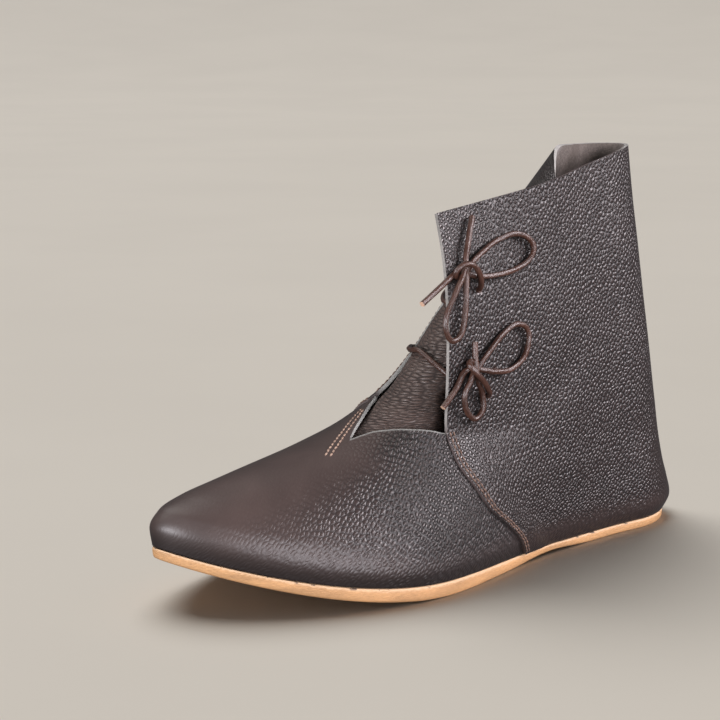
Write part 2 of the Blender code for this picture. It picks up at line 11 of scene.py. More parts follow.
import bpy
import numpy as np
from bpy.props import FloatProperty, FloatVectorProperty, PointerProperty
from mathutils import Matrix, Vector


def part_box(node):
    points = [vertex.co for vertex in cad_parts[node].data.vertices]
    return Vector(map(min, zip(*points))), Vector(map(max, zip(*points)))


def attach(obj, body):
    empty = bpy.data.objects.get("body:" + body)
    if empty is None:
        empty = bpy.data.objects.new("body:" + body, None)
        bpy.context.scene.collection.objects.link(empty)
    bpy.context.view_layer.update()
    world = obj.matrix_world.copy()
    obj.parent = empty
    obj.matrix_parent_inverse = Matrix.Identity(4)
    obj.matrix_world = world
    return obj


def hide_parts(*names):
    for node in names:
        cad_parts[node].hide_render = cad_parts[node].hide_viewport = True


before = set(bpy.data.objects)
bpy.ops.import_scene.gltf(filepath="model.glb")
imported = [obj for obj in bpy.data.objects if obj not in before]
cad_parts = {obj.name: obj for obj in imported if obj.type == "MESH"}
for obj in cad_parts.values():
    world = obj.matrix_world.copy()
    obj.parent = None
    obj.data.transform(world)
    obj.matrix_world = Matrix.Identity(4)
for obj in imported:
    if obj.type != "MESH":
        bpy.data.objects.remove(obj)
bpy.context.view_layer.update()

bl_info = {
    "name": "Side-laced ankle boot",
    "version": (1, 0, 0),
    "blender": (4, 5, 0),
    "location": "View3D > Sidebar > Boot",
    "description": "Builds the boot's leather panels, sole, seams and laces on its packed frame",
    "category": "Object",
}

MM = 0.001
# Sole, arch, toe spring and the upper's seat on the sole
SOLE_LENGTH = 275.0
SOLE_THICKNESS = 5.0
ARCH_RISE = 1.6
ARCH_FROM = 62.0
ARCH_TO = 124.0
SPRING_START = 165.0
SPRING_RISE = 22.0
SEAT_FADE = 30.0
SEAT_GAP = 0.4
# Lap of the quarter on the vamp, collar, slit, flap, tongue and lace holes
LAP_WIDTH = 9.0
LAP_STEP = 1.3
LAP_RAMP = 16.0
COLLAR_BACK = 173.0
TABLE_TOP = 174.0
SLIT_END = 59.0
SLIT_TOP = 71.0
SLIT_CLEARANCE = 0.2
FLAP_FOOT = 62.0
FLAP_EASE = 10.0
FLAP_SETBACK = 1.0
MEDIAL_TURN = 66.0
MEDIAL_JOIN = 72.0
TONGUE_FOOT = 51.0
TONGUE_TUCK = 13.0
TONGUE_PUFF = 2.4
TONGUE_SINK = 4.0
TONGUE_TOP = 118.0
HOLE_SETBACK = 10.5
HOLE_FROM = -5.0
HOLE_TO = 3.0
# Level curves: handles as shares of a reach, and points on each stretch
CIRCLE_HANDLE = 0.5523
TIP_HANDLE = 0.45
TIP_BREADTH = 0.75
WAIST_SLOPE = 0.6
TIP_POINTS = 90
BALL_POINTS = 60
FLAP_POINTS = 40
WAIST_POINTS = 40
HEEL_POINTS = 80
LEVEL_STEP = 0.5
LEG_STEP = 1.0
LEG_START = 74.0
# Weld of the panels in metres, and rows and columns of panels and plates
WELD_GAP = 0.00001
SOURCE_PARTS = 34
PLATE_PARTS = 150
PLATE_COLUMNS = 9
VAMP_ROWS = 100
VAMP_SLIT_ROWS = 22
VAMP_COLUMNS = 90
VAMP_CROWDING = 1.35
QUARTER_HALF = 106
QUARTER_FOOT_ROWS = 62
QUARTER_LEG_ROWS = 70
TONGUE_ROWS = 90
TONGUE_UNDER = 40
TONGUE_OVER = 60
# Girth of the vamp: length stations, and the stretch that gives the line behind the slit
STATIONS = np.arange(95.0, 276.0, 1.0)
GIRTH_FROM = 178.0
GIRTH_TO = 194.0
# Folds: bow to one side and taper at the ends, as shares of the length
FOLD_BOW = 0.08
FOLD_TAPER = 0.35
# Lace: sides, step along the route and points between two route points; sharpness of the corners, share of
# the full width, twist and its pace; and how far behind the ridge a hole lies from which the lace follows
# the leather
LACE_SIDES = 12
LACE_STEP = 0.7
ROUTE_POINTS = 16
LACE_CORNERS = 5
LACE_FULLNESS = 0.94
LACE_TWIST = 0.6
LACE_TWIST_PACE = 0.11
LONG_CROSSING = -15.0
# Lace bars: rise, distance past the inner hole and distance out for the first points; parts of the way back
# to the hole and distance out where the lace follows the leather; distance out over the ridge; swing forward
# and outward on the way to the flap; and distances out at the flap's hole
BAR_START = ((0.0, -1.2, -4.2), (0.0, 0.0, -1.0), (-0.4, 1.2, 1.4))
BAR_LEAD = (0.75, 0.5, 0.25)
BAR_LEAD_OUT = 1.6
BAR_OVER = 1.8
BAR_SWING = (3.0, 1.6, 0.0)
BAR_END = (-5.2, -2.4, 0.5)
# Stitch: share of its pitch, flatness, skew, rise in the middle and dip at the ends; then the hole beside it
STITCH_FILL = 0.78
STITCH_FLAT = 0.8
STITCH_SKEW = 0.10
STITCH_RISE = 0.12
STITCH_DIP = 0.18
STITCH_HOLE = (0.225, 0.45, 0.25)
STITCH_HOLE_DROP = 0.1
# Stitch rows: distances from the edge, heights sewn and points on each row
ROW_SETBACKS = (1.6, 3.5)
ROW_START = 6.5
ROW_POINTS = 90
EDGE_SETBACK = 0.4
EDGE_SEWN_TO = 140.0
SLIT_SEWN = (53.0, 67.4, 36)


def slopes(xs, ys):
    """Slopes of a monotone cubic through a table's points."""
    gap = np.diff(xs)
    slope = np.diff(ys) / gap
    tangent = np.concatenate([slope[:1], np.zeros(len(xs) - 2), slope[-1:]])
    for i in range(1, len(xs) - 1):
        if slope[i - 1] * slope[i] > 0:
            before = 2 * gap[i] + gap[i - 1]
            after = gap[i] + 2 * gap[i - 1]
            tangent[i] = (before + after) / (before / slope[i - 1] + after / slope[i])
    return tangent


def curve(*points):
    """A smooth curve through a table's points: keys, values and slopes."""
    xs, ys = np.array(points, float).T
    return xs, ys, slopes(xs, ys)


def columns(names, *rows):
    """A table's named columns, each a curve over the first column."""
    keys, *values = zip(*rows)
    return {name: curve(*zip(keys, column)) for name, column in zip(names.split()[1:], values)}


# Back line and front ridge of the last at each height
SPINE = columns(
    "z back_x tip_x tip_y tip_r",
    (5, -1.0, 273.0, -4.0, 9.0),
    (12, -5.5, 274.0, -4.0, 10.0),
    (20, -2.8, 270.0, -3.0, 11.0),
    (28, 0.4, 260.0, -2.0, 12.0),
    (36, 2.6, 246.0, -1.0, 12.0),
    (45, 4.4, 227.5, 0.0, 12.0),
    (54, 6.0, 204.5, 1.0, 13.0),
    (62, 7.4, 183.0, 2.0, 14.0),
    (74, 9.4, 157.5, 2.0, 15.0),
    (86, 11.4, 144.0, 1.0, 15.0),
    (104, 13.9, 127.5, 0.0, 14.0),
    (128, 17.0, 104.5, 0.0, 12.0),
    (150, 19.3, 82.0, 0.0, 10.0),
    (174, 21.3, 57.0, 0.0, 9.0),
)
# Outer side: above the flap's foot the ball station is the flap's front edge
LATERAL = columns(
    "z heel_x heel_y waist_x waist_y ball_x ball_y ball_m",
    (5, 34.0, 26.5, 88.0, 31.5, 180.0, 53.0, 0.0),
    (12, 34.0, 28.5, 88.0, 33.5, 179.0, 54.5, 0.0),
    (20, 35.0, 28.5, 88.0, 34.0, 176.0, 53.5, 0.0),
    (28, 36.0, 28.0, 88.0, 34.0, 172.0, 51.0, 0.0),
    (36, 37.0, 27.5, 88.0, 34.0, 168.0, 47.5, 0.0),
    (45, 38.0, 27.0, 89.0, 33.5, 163.0, 43.0, 0.0),
    (54, 38.0, 26.5, 90.0, 33.0, 158.0, 38.0, 0.0),
    (62, 39.0, 26.0, 90.0, 32.5, 157.0, 34.5, 0.0),
    (84, 41.0, 25.0, 92.0, 31.0, 155.5, 34.0, 0.03),
    (105, 43.0, 23.0, 95.0, 29.5, 154.5, 33.0, 0.04),
    (128, 46.0, 21.0, 97.0, 27.0, 153.0, 29.0, 0.02),
    (151, 50.0, 18.0, 100.0, 24.0, 152.0, 22.0, -0.03),
    (174, 53.0, 15.0, 102.0, 21.0, 152.0, 15.0, -0.06),
)
# Inner side; the tongue's outer half mirrors it
MEDIAL = columns(
    "z heel_x heel_y waist_x waist_y ball_x ball_y ball_m",
    (5, 34.0, 26.0, 95.0, 22.0, 190.0, 43.0, 0.0),
    (12, 34.0, 28.0, 95.0, 24.0, 189.0, 45.0, 0.0),
    (20, 35.0, 28.0, 95.0, 25.0, 186.0, 44.0, 0.0),
    (28, 36.0, 28.0, 94.0, 26.0, 180.0, 41.0, 0.0),
    (36, 37.0, 27.5, 93.0, 27.0, 172.0, 37.0, 0.0),
    (45, 38.0, 27.0, 92.0, 28.0, 160.0, 33.5, 0.0),
    (54, 38.0, 26.5, 90.0, 28.5, 145.0, 31.0, 0.0),
    (62, 39.0, 26.0, 86.0, 28.5, 130.0, 29.5, 0.0),
    (76, 40.0, 25.0, 78.0, 27.5, 112.0, 27.5, 0.0),
    (102, 42.0, 22.0, 68.0, 25.0, 90.0, 25.0, 0.0),
    (128, 42.0, 18.5, 58.0, 21.0, 72.0, 21.0, 0.0),
    (150, 40.0, 15.0, 50.0, 17.0, 59.0, 17.0, 0.0),
    (174, 37.0, 11.5, 41.0, 12.5, 46.0, 12.5, 0.0),
)
# Where the quarter's front edge crosses each height, on both sides: height, x
SEAM = curve((5, 116), (14, 123), (22, 132.5), (31, 144), (41, 150.5), (50, 155.5), (62, 158), (72, 159.5))
# The vamp's slit runs from the outer side across the ridge to the inner side: height, y
SLIT = curve(
    (40, -4), (50, 4), (58, 12), (60, 9), (62, 6), (64, 3), (66, -0.3), (68, -4.2), (70, -8.8), (72, -12)
)
# Two rows of stitches beside the slit: height, y
SLIT_ROWS = (
    curve((53, 14.6), (57, 10.2), (61, 4.9), (64, 0.8), (66, -2.2), (68, -6.2), (69.5, -9.5)),
    curve((53, 12.9), (57, 8.0), (61, 2.5), (63, -0.5), (66, -5.0), (68, -8.2), (69.5, -11.0)),
)
# How far the quarter's inner front edge passes the ridge to the outer side, by height
EDGE = curve(
    (72, -15), (80, -16), (86, -17), (92, -19), (100, -19), (118, -10), (135, 2), (150, 8), (174, 10)
)
# Rise of the vamp's free upper edge, by its part of the way from the slit to the flap
VAMP_EDGE = curve(
    (0, 0), (0.11, 2), (0.2, 3.4), (0.32, 4.3), (0.47, 5), (0.62, 5.1), (0.72, 4.6), (0.79, 3.7), (1, 1.5)
)
# Collar height along the quarter, from the flap's corner round the back to the inner front
COLLAR = curve(
    (0, 151), (0.25, 161.5), (0.5, COLLAR_BACK), (0.78, 172.8), (0.87, 171), (0.924, 167.5), (1, 158)
)
# How far the tongue reaches past the ridge under the flap, by height
TONGUE_REACH = curve((51, 46), (90, 40), (118, 33))
# Distance past the ridge where the tongue turns in under the flap, by height
TONGUE_TURN = curve((60, 41), (64, 35.5), (68, 28), (72, 22), (76, 18), (84, 16))
# Thickness of the sole along its length
SOLE = curve((0, 4.0), (95, 4.2), (170, 6.0), (225, 5.2), (275, 4.2))

# Soft folds of the quarter: distance round from the back line (outer side -) and height at the start and
# the end, depth and half width
QUARTER_FOLDS = (
    (-120, 66, -70, 92, 0.7, 8.0),
    (-60, 40, -18, 62, 0.6, 9.0),
    (-110, 118, -60, 150, 0.5, 10.0),
    (50, 60, 100, 84, 0.8, 8.0),
    (20, 44, 62, 58, 0.6, 8.0),
    (40, 110, 80, 122, 0.6, 9.0),
)
# Wrinkles of the tongue: distance round from the ridge and along it at the start and the end, depth and
# half width
TONGUE_FOLDS = (
    (2, 22, 34, 16, 0.45, 2.2),
    (4, 30, 36, 26, 0.5, 2.0),
    (2, 38, 36, 35, 0.45, 2.2),
    (3, 47, 34, 43, 0.4, 2.0),
    (4, 58, 32, 56, 0.4, 2.4),
)

# Lace rows: inner hole height, height at the ridge, and the flap's hole
CROSSINGS = ((152, 147, 135.3, 131.8), (139, 134, 136, 119), (113, 108, 129.3, 85), (88, 90, 133, 75))

# Cord routes on the flap's outer face: x, height and distance out from the leather
BOWS = {
    "upper": {
        "back": (
            (143.4, 127.6, 2.6), (140.6, 131.2, 3.4), (133, 135, 2.8), (125, 138.3, 2.3), (114, 140.5, 2.1),
            (106, 138, 2.1), (103.5, 133.5, 2.1), (108, 128.5, 2.1), (118, 125.5, 2.2), (130, 124.5, 2.6),
            (139.2, 125.2, 2.4), (145, 127.0, 1.7), (150.6, 126.4, 1.6), (158, 122.6, 1.8), (170, 116.5, 2.0),
        ),
        "down": (
            (146.4, 128.6, 4.4), (149.4, 124.6, 4.8), (154, 119, 4.6), (159, 111.5, 4.0), (159.5, 105, 3.6),
            (156, 100.5, 3.2), (150.5, 103, 3.0), (147.3, 112, 2.8), (145.6, 121.6, 3.0), (144.4, 128.0, 3.2),
            (143.6, 133.0, 3.0), (140.5, 140, 3.0), (136, 149, 2.4),
        ),
        "knot": (
            (136.2, 119.2, -0.8), (136.4, 120.0, 1.6), (138.0, 123.4, 4.2), (140.6, 127.6, 6.2),
            (144.2, 130.6, 7.0), (148.2, 130.8, 6.4), (150.8, 128.6, 4.6), (150.6, 126.2, 2.6),
            (147.4, 124.8, 1.5),
        ),
    },
    "lower": {
        "back": (
            (141.4, 87.4, 2.6), (138.6, 91.0, 3.2), (132, 96, 2.8), (126, 100, 2.3), (118, 103.2, 2.1),
            (111.5, 101.5, 2.1), (110, 96, 2.1), (113.5, 89, 2.1), (122, 84.8, 2.2), (131, 85, 2.4),
            (136.8, 86.2, 2.4), (142.6, 87.4, 1.7), (148.2, 86.6, 1.6), (153, 80.5, 1.8), (160.5, 73.5, 2.0),
        ),
        "down": (
            (144.0, 87.4, 3.6), (146.6, 82.9, 3.6), (149.6, 78, 3.4), (149, 72.5, 3.0), (146, 68.2, 2.8),
            (142.4, 67, 2.6), (138.6, 70.5, 2.4), (138.8, 76.5, 2.4), (141.2, 81.4, 3.0), (142.4, 87.6, 3.0),
            (142.6, 92.8, 2.6), (142.4, 95.5, 2.4), (142.2, 98.5, 2.2),
        ),
        "knot": (
            (133.2, 75.2, -0.8), (133.8, 75.8, 1.6), (137.6, 79.2, 4.6), (142.2, 83.6, 6.2),
            (146.4, 87.4, 6.2), (147.8, 89.8, 4.6), (145.4, 91.0, 2.6), (141.2, 89.4, 1.6),
        ),
    },
}
BOW_NODES = {"back": ("loop_back", "end_front"), "down": ("loop_down", "end_up"), "knot": ("knot",)}

# Soft lights round the boot: azimuth, height in degrees, distance, width and height, power, colour
LAMPS = {
    "window": (226, 29, 1.7, (1.1, 0.6), 50, (1.0, 0.92, 0.96)),
    "front": (168, 7, 1.7, (1.7, 0.24), 42, (0.97, 0.94, 1.0)),
    "side": (90, 7, 1.4, (0.55, 0.4), 27, (0.97, 0.95, 1.0)),
    "top": (30, 55, 1.8, (1.4, 1.4), 17, (1.0, 0.97, 0.93)),
}
LAMP_TARGET = Vector((0.0, 0.0, 0.07))
FLOOR_LIGHT = (350, 62, 3.0)
FLOOR_LIGHT_POWER = 2.5
FLOOR_LIGHT_SPREAD = 50
AIR_COLOUR = (0.98, 0.97, 1.0, 1.0)
AIR_POWER = 0.12
# Floor, in metres: rings that climb to a soft backdrop beyond the flat part
FLOOR_RADII = (0.02, 0.5, 1.0, 2.0, 3.0, *np.linspace(4.0, 12.0, 17))
FLOOR_SIDES = 96
FLOOR_FLAT = 4.0
FLOOR_CLIMB = 3.0
# Camera: place on the last, azimuth and height in degrees, lens and sensor in millimetres
CAMERA_PLACE = (687.0, 633.0, 232.0)
CAMERA_VIEW = (141.0, 9.9)
CAMERA_LENS = 100.0
CAMERA_SENSOR = 36.0
CAMERA_END = 50.0


def measure(title, note, value):
    """A length property, in metres."""
    return FloatProperty(name=title, description=note, default=value, unit="LENGTH")


class BootSizes(bpy.types.PropertyGroup):
    """Sizes of leather, thread and lace."""

    wall: measure("Upper leather", "Thickness of vamp and quarter", 0.0016)
    tongue: measure("Tongue leather", "Thickness of the tongue", 0.0016)
    tongue_drop: measure("Tongue depth", "How far the tongue lies under the upper's face", 0.0026)
    insole: measure("Insole leather", "Thickness of the insole", 0.0018)
    insole_inset: measure("Insole inset", "Insole's edge inside the sole's edge", 0.003)
    sole_inset: measure("Sole floor inset", "How far the floor face stands in from the top edge", 0.0007)
    lace: measure("Lace", "Width of the leather lace", 0.0023)
    hole: measure("Lace hole", "Diameter of the punched holes", 0.0028)
    pebble: measure("Pebble", "Pitch of the leather's grain", 0.0020)
    stitch: measure("Stitch", "Length of one stitch with its gap", 0.0027)
    thread: measure("Thread", "Thickness of the thread", 0.0009)


def colour(title, note, value):
    """A colour property."""
    return FloatVectorProperty(
        name=title, description=note, default=value, size=3, subtype="COLOR", min=0.0, max=1.0
    )


class BootColours(bpy.types.PropertyGroup):
    """Colours of leather, thread and floor."""

    crown: colour("Pebble crown", "Upper leather on top of the grain", (0.022, 0.015, 0.014))
    plain: colour("Smooth leather", "Upper leather where the grain is stretched flat", (0.042, 0.028, 0.0245))
    # Painted shade: the dark colour in the creases between the pebbles
    valley: colour("Pebble valley", "Upper leather between the grain", (0.005, 0.0033, 0.003))
    raw: colour("Raw edge", "Cut edge of the upper leather", (0.33, 0.33, 0.31))
    flesh: colour("Flesh side", "Inside of the upper leather", (0.088, 0.073, 0.064))
    tongue: colour("Tongue", "Tongue leather", (0.055, 0.037, 0.031))
    sole: colour("Sole", "Natural sole leather", (0.36, 0.194, 0.080))
    sole_rim: colour("Sole rim", "Fuzzy upper rim of the sole's edge", (0.44, 0.292, 0.172))
    sole_spot: colour("Sole spots", "Dark spots along the sole's rim", (0.05, 0.03, 0.02))
    insole: colour("Insole", "Insole leather", (0.16, 0.11, 0.08))
    thread_seam: colour("Seam thread", "Thread of the side seams", (0.092, 0.052, 0.035))
    thread_slit: colour("Slit thread", "Thread beside the slit", (0.245, 0.165, 0.122))
    thread_joint: colour("Thread joint", "Thread where it dips into the leather", (0.045, 0.021, 0.013))
    lace: colour("Lace", "Leather lace", (0.039, 0.0165, 0.0108))
    lace_cut: colour("Lace cut end", "Cut ends of the lace", (0.36, 0.23, 0.16))
    floor: colour("Floor", "Studio floor", (0.68, 0.625, 0.55))


def sizes():
    return bpy.context.scene.boot_sizes


def colours():
    return bpy.context.scene.boot_colours


def mm(value):
    """A size in the tables' unit."""
    return value / MM


def smooth(table, x):
    """A curve's values, flat beyond its ends."""
    xs, ys, tangent = table
    gap = np.diff(xs)
    x = np.clip(x, xs[0], xs[-1])
    k = np.clip(np.searchsorted(xs, x) - 1, 0, len(gap) - 1)
    t = (x - xs[k]) / gap[k]
    rise = ys[k] * (2 * t**3 - 3 * t**2 + 1) + ys[k + 1] * (3 * t**2 - 2 * t**3)
    return rise + gap[k] * (tangent[k] * (t**3 - 2 * t**2 + t) + tangent[k + 1] * (t**3 - t**2))


def reading(table, x):
    """A curve's value at one place, as a plain number."""
    return float(smooth(table, x))


def level(table, z):
    """All the columns of a level table at one height."""
    return {name: reading(column, z) for name, column in table.items()}


def ease(t):
    """Smooth step from 0 to 1."""
    t = np.clip(t, 0.0, 1.0)
    return t * t * (3 - 2 * t)


def fade(values, start, width):
    """Smooth step from 0 at start to 1 a width further on; a negative width runs backwards."""
    return ease((values - start) / width)


def unit(vectors):
    """Rows of vectors at length 1."""
    return vectors / np.linalg.norm(vectors, axis=1)[:, None]


def bezier(corners, count):
    """Points on a cubic curve with four control points."""
    a, b, c, d = (np.array(corner, float) for corner in corners)
    t = np.linspace(0.0, 1.0, count)[:, None]
    return (1 - t) ** 3 * a + 3 * t * (1 - t) ** 2 * b + 3 * t**2 * (1 - t) * c + t**3 * d


def reach(x0, y0, m0, x1, y1, m1, count):
    """A cubic between two stations with a slope at each."""
    third = (x1 - x0) / 3
    return bezier(((x0, y0), (x0 + third, y0 + m0 * third), (x1 - third, y1 - m1 * third), (x1, y1)), count)


def ball_to_waist(wide, count):
    """The stretch of a level curve from the ball to the waist, and its slope at the waist."""
    slope = WAIST_SLOPE * (wide["ball_y"] - wide["heel_y"]) / (wide["ball_x"] - wide["heel_x"])
    ball = (wide["ball_x"], wide["ball_y"], wide["ball_m"])
    return reach(*ball, wide["waist_x"], wide["waist_y"], slope, count), slope


def side(z, table, sign, tip=True):
    """One side of the level curve at height z, from the front to the back line."""
    spine = level(SPINE, z)
    wide = level(table, z)
    pieces = []
    if tip:
        length = spine["tip_x"] - wide["ball_x"]
        start_y = sign * spine["tip_y"]
        # A cubic's radius at its start is 1.5 times its handle squared over the next handle's distance
        rounding = math.sqrt(spine["tip_r"] * (1 - TIP_HANDLE) * length / 1.5)
        rounding = min(rounding, TIP_BREADTH * (wide["ball_y"] - start_y))
        pieces.append(bezier((
            (spine["tip_x"], start_y),
            (spine["tip_x"], start_y + rounding),
            (wide["ball_x"] + TIP_HANDLE * length, wide["ball_y"]),
            (wide["ball_x"], wide["ball_y"]),
        ), TIP_POINTS))
    waist, slope = ball_to_waist(wide, BALL_POINTS)
    pieces.append(waist)
    heel = (wide["heel_x"], wide["heel_y"])
    pieces.append(reach(wide["waist_x"], wide["waist_y"], slope, *heel, 0.0, WAIST_POINTS))
    length = wide["heel_x"] - spine["back_x"]
    pieces.append(bezier((
        heel,
        (wide["heel_x"] - CIRCLE_HANDLE * length, wide["heel_y"]),
        (spine["back_x"], CIRCLE_HANDLE * wide["heel_y"]),
        (spine["back_x"], 0.0),
    ), HEEL_POINTS))
    path = np.concatenate([pieces[0]] + [piece[1:] for piece in pieces[1:]])
    path[:, 1] *= sign
    return path


def walk(path):
    """Distance along a path at each of its points."""
    return np.concatenate([[0.0], np.cumsum(np.linalg.norm(np.diff(path, axis=0), axis=1))])


def at(path, distances):
    """Points at distances along a path."""
    along = walk(path)
    return np.stack([np.interp(distances, along, path[:, k]) for k in range(path.shape[1])], 1)


def pick(path, parts):
    """Points at given parts of a path's length."""
    return at(path, np.asarray(parts) * walk(path)[-1])


def cut(path, distance):
    """A path in two at a distance along it."""
    along = walk(path)
    point = at(path, [distance])
    before, after = path[along < distance - 1e-6], path[along > distance + 1e-6]
    return np.concatenate([before, point]), np.concatenate([point, after])


def distance_to(path, column, value):
    """Distance along a path to the first place where a coordinate passes a value."""
    offset = path[:, column] - value
    k = int(np.argmax(offset * offset[0] <= 0))
    part = offset[k - 1] / (offset[k - 1] - offset[k]) if k else 0.0
    along = walk(path)
    return along[max(k - 1, 0)] + part * (along[k] - along[max(k - 1, 0)])


def normals(path):
    """Outward normals of a path in plan; outward is to the right of its run."""
    run = unit(np.gradient(path, axis=0))
    return np.stack([run[:, 1], -run[:, 0]], 1)


def bend(points):
    """Toe spring and the sole's thickness put into points of the flat last."""
    bent = np.array(points, float)
    x = bent[..., 0]
    z = bent[..., 2]
    spring = SPRING_RISE * (np.maximum(0.0, x - SPRING_START) / (SOLE_LENGTH - SPRING_START)) ** 2
    seat = smooth(SOLE, x) - SOLE_THICKNESS
    hold = np.where(z < SOLE_THICKNESS, z / SOLE_THICKNESS, 1 - fade(z, SOLE_THICKNESS, SEAT_FADE))
    bent[..., 2] = z + spring + seat * hold
    return bent


def both_ends(count):
    """Parts from 0 to 1 that lie closer together at both ends."""
    return 0.5 - 0.5 * np.cos(np.linspace(0.0, math.pi, count))


def row_shift():
    """Where the row's origin lies on the last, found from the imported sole's box."""
    parts = both_ends(SOURCE_PARTS)[1:-1]
    outer = pick(side(SOLE_THICKNESS, LATERAL, 1), parts)
    inner = pick(side(SOLE_THICKNESS, MEDIAL, -1), parts)
    low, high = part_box("outsole")
    back = min(outer[:, 0].min(), inner[:, 0].min())
    return np.array((back - mm(low.x), outer[:, 1].max() - mm(high.y), 0.0))


SHIFT = row_shift()


def place(points):
    """Points of the flat last as points of the row frame, in metres."""
    return (bend(points) - SHIFT) * MM


def split_level(z):
    """The level curve from the slit line: the outer half and the inner half, each cut under the quarter."""
    outer = side(z, LATERAL, 1)
    inner = side(z, MEDIAL, -1)
    seam_x = reading(SEAM, z) - LAP_WIDTH
    outer = cut(outer, distance_to(outer, 0, seam_x))[0]
    inner = cut(inner, distance_to(inner, 0, seam_x))[0]
    slit_y = reading(SLIT, z)
    if slit_y > outer[0, 1] + SLIT_CLEARANCE:
        lead, outer = cut(outer, distance_to(outer, 1, slit_y))
        inner = np.concatenate([lead[::-1], inner[1:]])
    elif z > SLIT_END and slit_y < inner[0, 1] - SLIT_CLEARANCE:
        inner = cut(inner, distance_to(inner, 1, slit_y))[1]
    return outer, inner


def lift_off(path, from_start, z, top):
    """The lap's step: the quarter lies on the vamp near its front edge."""
    along = walk(path)
    away = along if from_start else along[-1] - along
    step = LAP_STEP * (1 - fade(away, LAP_WIDTH, LAP_RAMP)) * (1 - fade(z, top, LAP_RAMP))
    return path + step[:, None] * normals(path)


def quarter_outer(z):
    """Outer half of the quarter's level curve, from its front edge to the back."""
    if z < FLAP_FOOT:
        path = side(z, LATERAL, 1)
        seam_x = reading(SEAM, z) - FLAP_SETBACK * float(fade(z, FLAP_FOOT - FLAP_EASE, FLAP_EASE))
        path = cut(path, distance_to(path, 0, seam_x))[1]
    else:
        path = side(z, LATERAL, 1, tip=False)
    return lift_off(path, True, z, FLAP_FOOT - LAP_RAMP / 2)


def quarter_inner(z):
    """Inner half of the quarter's level curve, from the back to its front edge."""
    path, over = ring(z)
    back = edge_distance(path, z)
    if back > 0:
        path = cut(path, back)[1]
    elif back < -0.1:
        path = np.concatenate([cut(over, -back)[0][::-1], path[1:]])
    return lift_off(path[::-1], False, z, MEDIAL_JOIN)


def edge_distance(inner, z):
    """Distance from the ridge back to the quarter's inner front edge; negative where it passes the ridge."""
    past = -reading(EDGE, z)
    if z >= MEDIAL_JOIN:
        return past
    share = float(fade(z, MEDIAL_TURN, MEDIAL_JOIN - MEDIAL_TURN))
    return (1 - share) * distance_to(inner, 0, reading(SEAM, z)) + share * past


def front_edge(inner, outer, z):
    """Where the inner leather's front edge lies past the ridge: the slit below, the quarter's edge above."""
    if z >= MEDIAL_JOIN:
        return reading(EDGE, z)
    slit_y = reading(SLIT, z)
    if slit_y > inner[0, 1]:
        return distance_to(outer, 1, slit_y)
    return -distance_to(inner, 1, slit_y)


def ring(z):
    """The level curve that the tongue follows: inner side, and the mirrored outer side."""
    inner = side(z, MEDIAL, -1)
    outer = side(z, MEDIAL, 1)
    outer[:, 1] += inner[0, 1] - outer[0, 1]
    return inner, outer


def level_rows(heights, make, parts):
    """Points at parts of the level curve at each height."""
    return np.array([pick(make(z), parts) for z in heights])


def at_heights(heights, rows, wanted):
    """Each column of level rows read at its own heights."""
    grid = np.empty(wanted.shape + (3,))
    for i in range(wanted.shape[1]):
        for k in range(2):
            grid[:, i, k] = np.interp(wanted[:, i], heights, rows[:, i, k])
    grid[..., 2] = wanted
    return grid


def grid_normals(grid):
    """Outward normals of a grid of points."""
    face = np.cross(np.gradient(grid, axis=1), np.gradient(grid, axis=0))
    return face / np.maximum(np.linalg.norm(face, axis=2), 1e-9)[..., None]


def trough(u, v, folds):
    """Listed creases: each row is start, end, depth and half width."""
    total = np.zeros_like(u)
    for u0, v0, u1, v1, depth, width in folds:
        du, dv = u1 - u0, v1 - v0
        length = math.hypot(du, dv)
        along = ((u - u0) * du + (v - v0) * dv) / length
        off = ((u - u0) * dv - (v - v0) * du) / length
        off = off - FOLD_BOW * length * np.sin(np.pi * np.clip(along / length, 0, 1))
        taper = ease(along / (FOLD_TAPER * length)) * ease((length - along) / (FOLD_TAPER * length))
        total -= depth * taper * np.exp(-((off / width) ** 2))
    return total


def select_only(piece):
    """Make a piece the only selected and active object."""
    bpy.ops.object.select_all(action="DESELECT")
    piece.select_set(True)
    bpy.context.view_layer.objects.active = piece


def apply_modifiers(piece):
    """Apply a piece's modifiers in their order."""
    select_only(piece)
    for name in [modifier.name for modifier in piece.modifiers]:
        bpy.ops.object.modifier_apply(modifier=name)


def round_shading(piece, degrees=42):
    """Smooth shading with hard edges kept."""
    select_only(piece)
    bpy.ops.object.shade_smooth_by_angle(angle=math.radians(degrees))


def new_piece(name, points, faces, paints):
    """An object at the origin from points in metres."""
    mesh = bpy.data.meshes.new(name)
    mesh.from_pydata(np.asarray(points).tolist(), [], faces)
    for paint in paints:
        mesh.materials.append(paint)
    piece = bpy.data.objects.new(name, mesh)
    bpy.context.scene.collection.objects.link(piece)
    return piece


def set_uv(mesh, uv):
    """A UV map from one pair of numbers for each point."""
    corner = np.empty(len(mesh.loops), int)
    mesh.loops.foreach_get("vertex_index", corner)
    mesh.uv_layers.new(name="UVMap").data.foreach_set("uv", np.asarray(uv, np.float32)[corner].ravel())


def set_mask(mesh, name, values):
    """A named value for each point."""
    values = np.asarray(values, np.float32).ravel()
    mesh.attributes.new(name, "FLOAT", "POINT").data.foreach_set("value", values)


def grid_faces(rows, count, first, flip):
    """Faces of a grid of rows by count points."""
    faces = []
    for j in range(rows - 1):
        for i in range(count - 1):
            a = first + j * count + i
            face = (a, a + 1, a + 1 + count, a + count)
            faces.append(face[::-1] if flip else face)
    return faces


def loop_faces(low, high, count, flip=False):
    """Faces between two closed loops of points, given by their first points."""
    faces = []
    for i in range(count):
        j = (i + 1) % count
        face = (low + i, high + i, high + j, low + j)
        faces.append(face[::-1] if flip else face)
    return faces


